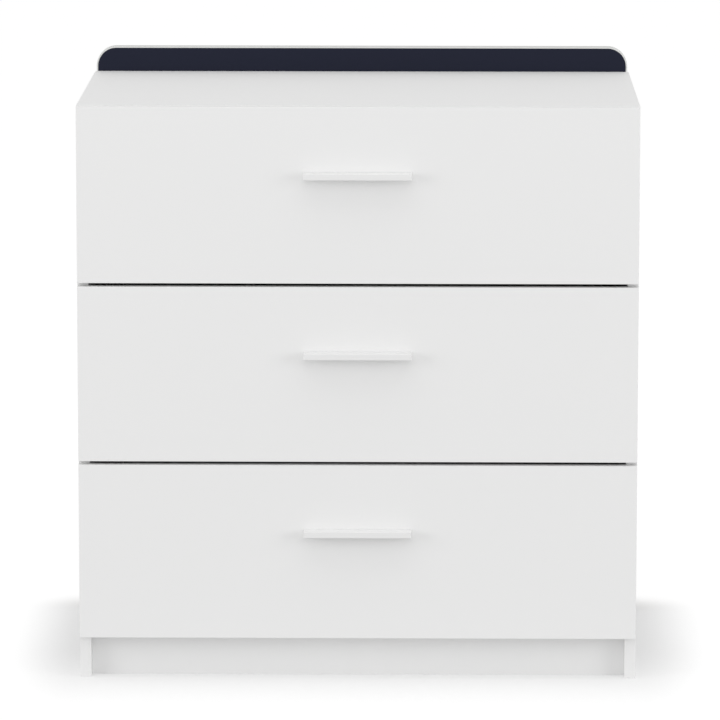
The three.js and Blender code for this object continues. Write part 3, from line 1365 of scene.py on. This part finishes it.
@dataclass
class Guard:
    """The navy guard along the rear of the top, with its pale band and its screws.

    Attributes:
        corner: Radius of the band at the two upper corners.
        arris: Rounding of the band's long edges.
        board_arris: Rounding of the board's long edges.
        steps: Faces round a corner.
        glue: Gap between board and band.
        cap_radius: Radius of a screw's cap.
        cap_inset: Distance of the outer caps from the ends.
        cap_sink: How deep a cap sits in the board.
    """

    corner: float = 29.5 * MM
    arris: float = 0.9 * MM
    board_arris: float = 0.15 * MM
    steps: int = 18
    glue: float = 0.04 * MM
    cap_radius: float = 6 * MM
    cap_inset: float = 60 * MM
    cap_sink: float = 0.4 * MM

    def rounded(self, low: Vector, high: Vector, radius: float) -> Solid:
        """A plate whose two upper corners are rounded.

        Args:
            low: Its lowest corner.
            high: Its highest corner.
            radius: Radius of the rounding.

        Returns:
            The plate.
        """
        plate = Solid.box(low, high)
        plate.round_edges(
            radius, self.steps, lambda edge: on_top(edge, high.z) and square_to(edge, Axis.X)
        )
        return plate

    def build(self) -> None:
        """Makes the board, its band and its screw caps."""
        low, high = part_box("guard_edge_band")
        board_low, board_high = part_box("guard_board")
        thickness = board_low.x - low.x - self.glue
        inner_low = low + Vector((thickness, 0, 0))
        inner_high = high - Vector((thickness, 0, thickness))
        board = self.rounded(inner_low, inner_high, self.corner - thickness)
        board.round_edges(self.board_arris, 1, lambda edge: square_to(edge, Axis.Y))
        board.paint(SECOND_FINISH, lambda face: face.normal.z < -ALIGNED)
        finishes = (NAVY_MELAMINE, SAWN_CHIPBOARD)
        board.piece("guard_plate", CABINET, finishes, "navy_melamine", ["guard_board"])
        self.edge_band(low, high, thickness)
        self.caps(board_high)

    def edge_band(self, low: Vector, high: Vector, thickness: float) -> None:
        """Makes the band over the guard's top and ends.

        Args:
            low: Lowest corner of the whole guard.
            high: Its highest corner.
            thickness: Thickness of the band.
        """
        band = self.rounded(low, high, self.corner)
        open_faces = [
            face for face in band.bm.faces
            if abs(face.normal.y) > ALIGNED or face.normal.z < -ALIGNED
        ]
        bmesh.ops.delete(band.bm, geom=open_faces, context="FACES")
        bmesh.ops.solidify(band.bm, geom=list(band.bm.faces), thickness=thickness)
        band.face_outwards()
        band.round_edges(self.arris, 4, lambda edge: self.long_outer_edge(edge, low, high))
        band.piece("guard_band", CABINET, (PALE_BAND,), "pale_edge_band", ["guard_edge_band"])

    def long_outer_edge(self, edge: Edge, low: Vector, high: Vector) -> bool:
        """Whether an edge of the band runs along its outer side.

        Args:
            edge: The edge.
            low: Lowest corner of the whole guard.
            high: Its highest corner.

        Returns:
            True for the long edges that are touched in use.
        """
        side = any(abs(face.normal.y) > ALIGNED for face in edge.link_faces)
        outer = any(self.points_out(face, low, high) for face in edge.link_faces)
        return square_to(edge, Axis.Y) and side and outer

    def points_out(self, face: Face, low: Vector, high: Vector) -> bool:
        """Whether a face of the band is on its outer side."""
        middle = Vector(((low.x + high.x) / 2, (low.y + high.y) / 2, low.z))
        return abs(face.normal.y) < 0.5 and face.normal.dot(face.calc_center_median() - middle) > 0

    def caps(self, high: Vector) -> None:
        """Makes the caps over the screws that hold the guard to the top panel's rear edge.

        Args:
            high: Highest corner of the guard's board.
        """
        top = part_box("top_panel")
        height = (top[0].z + top[1].z) / 2
        outer = high.x - self.cap_inset
        radius = self.cap_radius
        foot, rim, slope, crown = -0.5 * MM, 0.05 * MM, 0.3 * MM, 0.35 * MM
        cap = Solid.turned((
            (0.0, foot), (radius, foot), (radius, rim), (radius - slope, slope),
            (0.0, crown),
        ), steps=28)
        seat = high.y - self.cap_sink
        points = [(x, seat, height) for x in (-outer, -outer / 3, outer / 3, outer)]
        inset = Solid().add(cap, stations(points, Axis.Y, 1))
        inset.piece("guard_screw_caps", CABINET, (NAVY_MELAMINE,), "navy_melamine")


# ------------------------------------------------------------------------------- drawers


@dataclass
class RollerSlide:
    """The cabinet runner, drawer runner and rollers on one side of one drawer.

    Attributes:
        level: The drawer.
        side: The side of the drawer.
        sheet: Thickness of the runner's steel.
        lip: Width of the cabinet runner's upper lip.
        flange: Width of the drawer runner's rolling flange.
        bend: Rounding of the bends.
        hub: Outer radius of a roller's hub.
        rim: Inner radius of a roller's rim.
        dish: Depth of the hollow between hub and rim.
        bore: Radius of the roller's bore.
        axle_radius: Radius of an axle.
        axle_foot: Radius of the swelling at its root.
        axle_tip: Radius of its riveted end.
        axle_length: Length of the front axle.
        fixed_screws: From the cabinet runner's front end to its screws.
        moving_screws: From the drawer runner's front end to its screws.
    """

    level: Level
    side: Side
    sheet: float = 1.2 * MM
    lip: float = 5.7 * MM
    flange: float = 8.1 * MM
    bend: float = 0.55 * MM
    hub: float = 4.6 * MM
    rim: float = 7.6 * MM
    dish: float = 1.6 * MM
    bore: float = 2.75 * MM
    axle_radius: float = 2.5 * MM
    axle_foot: float = 3.4 * MM
    axle_tip: float = 2.1 * MM
    axle_length: float = 7.6 * MM
    fixed_screws: tuple[float, ...] = (48 * MM, 224 * MM, 400 * MM)
    moving_screws: tuple[float, ...] = (40 * MM, 210 * MM, 390 * MM)

    def build(self) -> None:
        """Makes the slide's four moving or fixed parts and its screws."""
        self.cabinet_runner()
        self.drawer_runner()
        for place in ("front", "rear"):
            self.roller(place)

    def node(self, piece: str) -> str:
        """The frame node of one piece of this slide."""
        return self.level.node(f"{piece}_{self.side.label}")

    def axle(self, place: str, root: float, tip: float) -> Solid:
        """A stub axle with a riveted end, from root to tip along X.

        Args:
            place: The roller that it holds, front or rear.
            root: Where it leaves the runner's web.
            tip: Where it ends.

        Returns:
            The axle.
        """
        low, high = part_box(self.node(f"{place}_roller"))
        centre = (low + high) / 2
        length = abs(tip - root)
        swell, rivet = 0.7 * MM, 0.5 * MM
        stub = Solid.turned((
            (0.0, 0.0), (self.axle_foot, 0.0), (self.axle_radius, swell),
            (self.axle_radius, length - rivet), (self.axle_tip, length), (0.0, length),
        ), steps=24)
        sign = 1 if tip > root else -1
        return stub.move(Matrix.Translation((root, centre.y, centre.z)) @ facing(Axis.X, sign))

    def runner(self, section: Profile, low: Vector, high: Vector) -> Solid:
        """A length of bent sheet with soft bends.

        Args:
            section: Its section on X and Z.
            low: Lowest corner of the frame node.
            high: Highest corner.

        Returns:
            The runner.
        """
        runner = Solid.prism(section, Axis.Y, low.y, high.y)
        runner.round_edges(self.bend, 3, lambda edge: not square_to(edge, Axis.Y))
        return runner

    def cabinet_runner(self) -> None:
        """Makes the C-shaped runner on the side panel, with its axle and screws."""
        node = self.node("cabinet_runner")
        low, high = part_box(node)
        inwards = -self.side.value
        back, track = self.side.outer((low, high)), self.side.inner((low, high))
        web = back + inwards * self.sheet
        lip = back + inwards * self.lip
        section = (
            (back, low.z), (track, low.z), (track, low.z + self.sheet), (web, low.z + self.sheet),
            (web, high.z - self.sheet), (lip, high.z - self.sheet), (lip, high.z), (back, high.z),
        )
        runner = self.runner(section, low, high)
        axle = self.axle("front", web, web + inwards * self.axle_length)
        runner.add(axle, [Matrix.Identity(4)], SECOND_FINISH)
        height = (low.z + high.z) / 2
        points = [(web, low.y + distance, height) for distance in self.fixed_screws]
        runner.add(FLAT_HEAD.solid(), stations(points, Axis.X, inwards), SECOND_FINISH)
        name = self.level.node(f"fixed_slide_{self.side.label}")
        runner.piece(name, CABINET, (RUNNER_COAT, ZINC_PLATE), "coated_steel", [node])

    def drawer_runner(self) -> None:
        """Makes the runner under the drawer side, with its axle and screws."""
        node = self.node("runner")
        low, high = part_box(node)
        outwards = self.side.value
        edge, foot = self.side.outer((low, high)), self.side.inner((low, high))
        web = edge - outwards * self.flange
        inner = web - outwards * self.sheet
        section = (
            (foot, low.z), (web, low.z), (web, high.z - self.sheet),
            (edge, high.z - self.sheet), (edge, high.z), (inner, high.z),
            (inner, low.z + self.sheet), (foot, low.z + self.sheet),
        )
        runner = self.runner(section, low, high)
        runner.add(self.axle("rear", web, edge), [Matrix.Identity(4)], SECOND_FINISH)
        middle = (foot + web) / 2
        points = [(middle, low.y + distance, low.z) for distance in self.moving_screws]
        runner.add(FLAT_HEAD.solid(), stations(points, Axis.Z, -1), SECOND_FINISH)
        name = self.level.node(f"moving_slide_{self.side.label}")
        runner.piece(name, self.level.body, (RUNNER_COAT, ZINC_PLATE), "coated_steel", [node])

    def roller(self, place: str) -> None:
        """Makes one roller with a hub, a dished web and a crowned rim.

        Args:
            place: Its place in the slide, front or rear.
        """
        node = self.node(f"{place}_roller")
        low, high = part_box(node)
        centre = (low + high) / 2
        half = (high.x - low.x) / 2
        radius = (high.z - low.z) / 2
        edge, draft, crown = 0.7 * MM, 0.3 * MM, 0.15 * MM
        outline = (
            (self.bore, half), (self.hub, half), (self.hub + draft, half - self.dish),
            (self.rim - draft, half - self.dish), (self.rim, half), (radius - edge, half),
            (radius - crown, half - edge), (radius, 0.0),
        )
        lower = tuple((r, -h) for r, h in reversed(outline[:-1]))
        wheel = Solid.turned((*outline, *lower, outline[0]), steps=40)
        wheel.move(Matrix.Translation(centre) @ facing(Axis.X, 1))
        name = self.level.node(f"{place}_wheel_{self.side.label}")
        wheel.piece(name, node, (ROLLER_NYLON,), "roller_plastic", [node])


@dataclass
class LedgeHandle:
    """A moulded ledge handle, open underneath, with two screws through the drawer front.

    Attributes:
        level: The drawer.
        corner: Radius of the front corners seen from above.
        arris: Rounding of the outer edges.
        wall: Thickness of the walls.
        boss_radius: Radius of a screw boss.
        boss_length: Length of a screw boss.
        boss_root: From the drawer front to a boss.
        screw_radius: Radius of a screw's shank.
        pilot: Radius of the hole in a boss.
        pilot_depth: Depth of that hole.
    """

    level: Level
    corner: float = 2 * MM
    arris: float = 0.9 * MM
    wall: float = 2.5 * MM
    boss_radius: float = 3.4 * MM
    boss_length: float = 12 * MM
    boss_root: float = 0.5 * MM
    screw_radius: float = 1.9 * MM
    pilot: float = 2.0 * MM
    pilot_depth: float = 2 * MM

    def build(self) -> None:
        """Makes the ledge and its screws."""
        low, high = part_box(self.level.node("handle"))
        ledge = Solid.box(low, high)
        ledge.round_edges(
            self.corner, 8,
            lambda edge: not square_to(edge, Axis.Z) and edge.verts[0].co.y < low.y + TOUCH,
        )
        underside = [face for face in ledge.bm.faces if face.normal.z < -ALIGNED]
        bmesh.ops.inset_region(
            ledge.bm, faces=underside, thickness=self.wall, use_even_offset=True
        )
        ledge.sink(underside, Vector((0, 0, high.z - low.z - self.wall)))
        ledge.round_edges(self.arris, 4, lambda edge: self.on_skin(edge, low, high))
        self.add_bosses(ledge, high)
        ledge.piece(
            self.level.node("ledge"), self.level.body, (HANDLE_PLASTIC,), "handle_plastic",
            [self.level.node("handle")],
        )
        for index in (1, 2):
            self.screw(index)

    def on_skin(self, edge: Edge, low: Vector, high: Vector) -> bool:
        """Whether an edge runs round the outside, away from the end that meets the front.

        Args:
            edge: The edge.
            low: The ledge's lowest corner.
            high: Its highest corner.

        Returns:
            True for the edges of the outer skin.
        """
        middle = (edge.verts[0].co + edge.verts[1].co) / 2
        rim = on_top(edge, low.z) or on_top(edge, high.z)
        hollow = grown_box((low, high), -self.wall * 0.5)
        return rim and not inside(middle, hollow, (0, 1)) and middle.y < high.y - TOUCH

    def add_bosses(self, ledge: Solid, high: Vector) -> None:
        """Adds the two bosses that the screws cut their thread in.

        Args:
            ledge: The ledge.
            high: Its highest corner.
        """
        length, floor = self.boss_length, self.boss_length - self.pilot_depth
        boss = Solid.turned((
            (self.pilot, floor), (self.pilot, length), (self.boss_radius, length),
            (self.boss_radius, 0.0), (0.0, 0.0), (0.0, floor), (self.pilot, floor),
        ), steps=20)
        points = []
        for index in (1, 2):
            low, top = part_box(self.level.node(f"handle_screw_{index}"))
            points.append(((low.x + top.x) / 2, high.y - self.boss_root, (low.z + top.z) / 2))
        ledge.add(boss, stations(points, Axis.Y, -1))

    def screw(self, index: int) -> None:
        """Makes one handle screw, with its head inside the drawer.

        Args:
            index: Its number in the frame node's name, 1 or 2.
        """
        node = self.level.node(f"handle_screw_{index}")
        low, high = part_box(node)
        centre = (low + high) / 2
        seat = high.y - PAN_HEAD.height
        length = seat - low.y
        taper, tip = 1 * MM, 0.6 * MM
        shank = Solid.turned((
            (0.0, 0.0), (self.screw_radius, 0.0), (self.screw_radius, length - taper),
            (tip, length), (0.0, length),
        ), steps=20)
        place = Matrix.Translation((centre.x, seat, centre.z))
        screw = Solid().add(shank, [place @ facing(Axis.Y, -1)])
        screw.add(PAN_HEAD.solid(), [place @ facing(Axis.Y, 1)])
        name = self.level.node(f"screw_{index}")
        screw.piece(name, self.level.body, (ZINC_PLATE,), "zinc_steel", [node])


@dataclass
class Drawer:
    """A drawer: front, box, handle, slides and the fittings that hold it together.

    Attributes:
        level: Which drawer.
        groove_depth: Depth of the grooves that hold its bottom.
        groove_slack: Room above and below the bottom in them.
        side_radius: Rounding of the foil-wrapped upper edges.
        cam_inset: Distance of a cam from the drawer front.
        rows: Heights of the cams and screws over a side's lower edge.
        under_share: Places of the outer screws under the back, as a share of its half width.
        slides: Its two slides.
    """

    level: Level
    groove_depth: float = 6 * MM
    groove_slack: float = 0.3 * MM
    side_radius: float = 2.5 * MM
    cam_inset: float = 24 * MM
    rows: tuple[float, ...] = (50 * MM, 146 * MM)
    under_share: float = 0.8
    slides: list[RollerSlide] = field(init=False)

    def __post_init__(self) -> None:
        """Gives the drawer its two slides."""
        self.slides = [RollerSlide(self.level, side) for side in Side]

    def build(self) -> None:
        """Makes every piece of the drawer."""
        self.front()
        for side in Side:
            self.side(side)
        self.back()
        HardboardSheet(
            self.level.node("bottom"), self.level.node("base_sheet"), Vector((0, 0, 1))
        ).build(self.level.body)
        LedgeHandle(self.level).build()
        for slide in self.slides:
            slide.build()
        self.fittings()

    def groove_heights(self) -> tuple[float, float]:
        """Lower and upper wall of the grooves for the bottom."""
        low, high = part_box(self.level.node("bottom"))
        return low.z - self.groove_slack, high.z + self.groove_slack

    def front(self) -> None:
        """Makes the front, banded all round, with a stopped groove behind."""
        node = self.level.node("front")
        every_edge = tuple((axis, sign) for axis in (Axis.X, Axis.Z) for sign in (-1, 1))
        board = Board(node, self.level.node("face_board"), Axis.Y, every_edge)
        solid = board.solid()
        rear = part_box(node)[1].y
        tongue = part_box(self.level.node("bottom"))
        slack = self.groove_depth - (rear - tongue[0].y)
        under, over = self.groove_heights()
        groove = (
            Vector((tongue[0].x - slack, rear - self.groove_depth, under)),
            Vector((tongue[1].x + slack, rear, over)),
        )
        for corner, axis in product(groove, (Axis.Z, Axis.X)):
            solid.score(axis, corner[axis.value])
        mouth = [
            face for face in solid.bm.faces
            if face.normal.y > ALIGNED and inside(face.calc_center_median(), groove, Axis.Y.others)
        ]
        solid.sink(mouth, Vector((0, -self.groove_depth, 0)))
        walls = (groove[0] - Vector((MM, TOUCH, MM)), groove[1] + Vector((MM, 0, MM)))
        solid.paint(Skin.SAWN, lambda face: inside(face.calc_center_median(), walls))
        board.finish(solid, self.level.body)

    def side(self, side: Side) -> None:
        """Makes one drawer side, with the groove for the bottom and a rounded upper edge.

        Args:
            side: Which side.
        """
        node = self.level.node(f"side_{side.label}")
        low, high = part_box(node)
        under, over = self.groove_heights()
        inner, outer = side.inner((low, high)), side.outer((low, high))
        floor = inner + side.value * self.groove_depth
        section = (
            (outer, low.z), (inner, low.z), (inner, under), (floor, under), (floor, over),
            (inner, over), (inner, high.z), (outer, high.z),
        )
        board = Solid.prism(section, Axis.Y, low.y, high.y)
        board.round_edges(
            self.side_radius, 4, lambda edge: on_top(edge, high.z) and square_to(edge, Axis.X)
        )
        board.paint(SECOND_FINISH, lambda face: abs(face.normal.y) > ALIGNED)
        name = self.level.node(f"box_side_{side.label}")
        board.piece(name, self.level.body, (DRAWER_FOIL, SAWN_CHIPBOARD), "drawer_board", [node])

    def back(self) -> None:
        """Makes the drawer's back, with a rounded upper edge."""
        node = self.level.node("back")
        low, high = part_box(node)
        board = Solid.box(low, high)
        board.round_edges(
            self.side_radius, 4, lambda edge: on_top(edge, high.z) and square_to(edge, Axis.Y)
        )
        name = self.level.node("box_back")
        board.piece(name, self.level.body, (DRAWER_FOIL,), "drawer_board", [node])

    def fittings(self) -> None:
        """Makes the cams behind the front and the screws into the back."""
        cams, screws = Solid(), Solid()
        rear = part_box(self.level.node("back"))
        middle = (rear[0].y + rear[1].y) / 2
        for side in Side:
            low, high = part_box(self.level.node(f"side_{side.label}"))
            inner, outer = side.inner((low, high)), side.outer((low, high))
            heights = [low.z + row for row in self.rows]
            behind_front = [(inner, low.y + self.cam_inset, z) for z in heights]
            cams.add(CAM_FACE.solid(), stations(behind_front, Axis.X, -side.value))
            into_back = [(outer, middle, z) for z in heights]
            screws.add(FLAT_HEAD.solid(), stations(into_back, Axis.X, side.value))
        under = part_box(self.level.node("bottom"))[0].z
        ends = [corner.x * self.under_share for corner in rear]
        below = [(x, middle, under) for x in (ends[0], 0.0, ends[1])]
        screws.add(FLAT_HEAD.solid(), stations(below, Axis.Z, -1))
        cams.piece(self.level.node("cams"), self.level.body, (CAST_ZINC,), "zinc_steel")
        screws.piece(self.level.node("box_screws"), self.level.body, (ZINC_PLATE,), "zinc_steel")


# ------------------------------------------------------------------------------- studio


@dataclass(frozen=True)
class Softbox:
    """A large soft light.

    Attributes:
        name: Its name.
        place: Where it stands.
        aim: The point that it faces.
        width: Its width.
        height: Its height.
        power: Its power in watts.
    """

    name: str
    place: tuple[float, float, float]
    aim: tuple[float, float, float]
    width: float
    height: float
    power: float

    def build(self) -> None:
        """Adds the light to the scene."""
        light = bpy.data.lights.new(self.name, "AREA")
        light.shape = "RECTANGLE"
        light.size = self.width
        light.size_y = self.height
        light.energy = self.power
        made = bpy.data.objects.new(self.name, light)
        made.location = self.place
        direction = Vector(self.aim) - Vector(self.place)
        made.rotation_euler = direction.to_track_quat("-Z", "Y").to_euler()
        made.visible_camera = False
        bpy.context.scene.collection.objects.link(made)


@dataclass
class Studio:
    """Camera, lights and floor.

    Attributes:
        distance: From the drawer fronts to the camera.
        offset: Camera's place on X.
        height: Camera's height over the floor.
        turn: Camera's turn to the left, in degrees.
        tilt: Camera's tilt down, in degrees.
        roll: Camera's roll, in degrees.
        lens: Focal length in millimetres.
        sky: Strength of the even light all round.
        floor_size: Length of the floor's sides.
        floor_tone: Albedo of the floor.
        floor_glow: Brightness of the painted glow, an emission that the floor fades to away from
            the object, as the camera sees it.
        floor_bounce: Strength of the same painted glow as the object receives it, painted bounce
            light from the floor.
        glow_share: How much of that painted glow the far floor has.
        glow_reach: Distance from the object at which it has it; nearer in, the lit floor and its
            shade show, so the fade paints a soft shade round the object.
        front_lead: Head start that the painted glow's distance has in front of the plinth.
        front_pace: How fast the distance counts there.
        softboxes: The lights.
    """

    distance: float = 7.60527
    offset: float = 0.09596
    height: float = 1.694
    turn: float = 0.6981
    tilt: float = 9.1708
    roll: float = 0.0374
    lens: float = 270.36
    sky: float = 0.70
    floor_size: float = 80.0
    floor_tone: float = 0.86
    floor_glow: float = 1.10
    floor_bounce: float = 0.59
    glow_share: float = 0.8
    glow_reach: float = 0.13
    front_lead: float = 0.051
    front_pace: float = 0.25
    softboxes: tuple[Softbox, ...] = (
        Softbox("left_window", (-5.0, -3.0, 1.6), (0.0, 0.0, 0.4), 2.5, 2.5, 66.0),
        Softbox("right_window", (5.0, -3.0, 1.6), (0.0, 0.0, 0.4), 2.5, 2.5, 66.0),
        Softbox("high_strip", (0.0, -3.0, 4.2), (0.0, 0.0, 0.4), 7.0, 2.0, 6.0),
        Softbox("top_strip", (0.0, -1.5, 4.6), (0.0, 0.0, 0.4), 7.0, 1.6, 30.0),
        Softbox("front_fill", (0.1, -6.5, 2.8), (0.0, 0.0, 0.45), 2.5, 1.2, 8.0),
    )

    def build(self) -> None:
        """Sets up the whole studio."""
        self.camera()
        self.background()
        self.floor()
        for softbox in self.softboxes:
            softbox.build()
        bpy.context.scene.view_settings.view_transform = "Standard"

    def camera(self) -> None:
        """Places the camera."""
        data = bpy.data.cameras.new("camera")
        data.lens = self.lens
        data.sensor_width = 36.0
        data.clip_end = 200.0
        made = bpy.data.objects.new("camera", data)
        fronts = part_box(Level.TOP.node("front"))[0].y
        place = Matrix.Translation((self.offset, fronts - self.distance, self.height))
        turned = Matrix.Rotation(math.radians(self.turn), 4, "Z")
        tilted = Matrix.Rotation(math.radians(90 - self.tilt), 4, "X")
        rolled = Matrix.Rotation(math.radians(self.roll), 4, "Z")
        made.matrix_world = place @ turned @ tilted @ rolled
        bpy.context.scene.collection.objects.link(made)
        bpy.context.scene.camera = made

    def background(self) -> None:
        """Lights the scene evenly from all round, and shows white behind it."""
        world = bpy.data.worlds.new("studio")
        world.use_nodes = True
        nodes = Nodes(world.node_tree)
        even = nodes.add("Background", {"Color": (1, 1, 1, 1), "Strength": self.sky}).outputs[0]
        seen = nodes.add("Background", {"Color": (1, 1, 1, 1), "Strength": 1.0}).outputs[0]
        camera_ray = nodes.add("LightPath").outputs["Is Camera Ray"]
        mixed = nodes.add("MixShader", {0: camera_ray, 1: even, 2: seen}).outputs[0]
        nodes.add("OutputWorld", {"Surface": mixed})
        bpy.context.scene.world = world

    def floor(self) -> None:
        """Lays a pale floor with a painted glow: an emission that fades in with distance from the
        object, so the floor is white away from it and keeps a painted soft shade close round it,
        and that also lights the object as painted bounce light.
        """
        material = bpy.data.materials.new("studio_floor")
        material.use_nodes = True
        nodes = Nodes(material.node_tree)
        where = nodes.add("TexCoord").outputs["Object"]
        x, y, _ = nodes.add("SeparateXYZ", {"Vector": where}).outputs
        # distance from the object's footprint, which sets where the painted glow fades in
        beside = nodes.math("SUBTRACT", nodes.math("ABSOLUTE", x), CAD_BOX[1].x)
        behind = nodes.math("SUBTRACT", y, CAD_BOX[1].y)
        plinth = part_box("plinth_front")[0].y
        ahead = nodes.math("SUBTRACT", plinth, y)
        before = nodes.math("MULTIPLY_ADD", ahead, self.front_pace, self.front_lead)
        deep = nodes.math("MAXIMUM", nodes.math("MAXIMUM", behind, before), 0.0)
        wide = nodes.math("MAXIMUM", beside, 0.0)
        outside = nodes.add("CombineXYZ", {"X": wide, "Y": deep}).outputs[0]
        away = nodes.add("VectorMath", {0: outside}, operation="LENGTH").outputs["Value"]
        # painted glow share: none at the object, rising to its full share at the reach, so the
        # floor glows white away from the object and a painted soft shade stays round it
        share = nodes.add(
            "MapRange", {"Value": away, "From Max": self.glow_reach, "To Max": self.glow_share},
            interpolation_type="SMOOTHSTEP",
        ).outputs["Result"]
        lit = nodes.add("BsdfDiffuse", {"Color": (*[self.floor_tone] * 3, 1)}).outputs[0]
        camera_ray = nodes.add("LightPath").outputs["Is Camera Ray"]
        # painted glow: an emission brighter to the camera than to the object, painted light on the
        # floor and painted bounce light on the object
        strength = nodes.remap(camera_ray, self.floor_bounce, self.floor_glow)
        glow = nodes.add("Emission", {"Strength": strength}).outputs[0]
        mixed = nodes.add("MixShader", {0: share, 1: lit, 2: glow}).outputs[0]
        nodes.add("OutputMaterial", {"Surface": mixed})
        sheet = bmesh.new()
        bmesh.ops.create_grid(sheet, x_segments=1, y_segments=1, size=self.floor_size / 2)
        mesh = bpy.data.meshes.new("studio_floor")
        sheet.to_mesh(mesh)
        sheet.free()
        mesh.materials.append(material)
        made = bpy.data.objects.new("studio_floor", mesh)
        bpy.context.scene.collection.objects.link(made)


# ------------------------------------------------------------------------------- main


def main() -> None:
    """Builds the studio and the changing table."""
    logging.basicConfig(level=logging.INFO, format="%(message)s")
    Studio().build()
    Carcass().build()
    Back().build()
    Guard().build()
    for level in Level:
        Drawer(level).build()


if __name__ == "__main__":
    main()
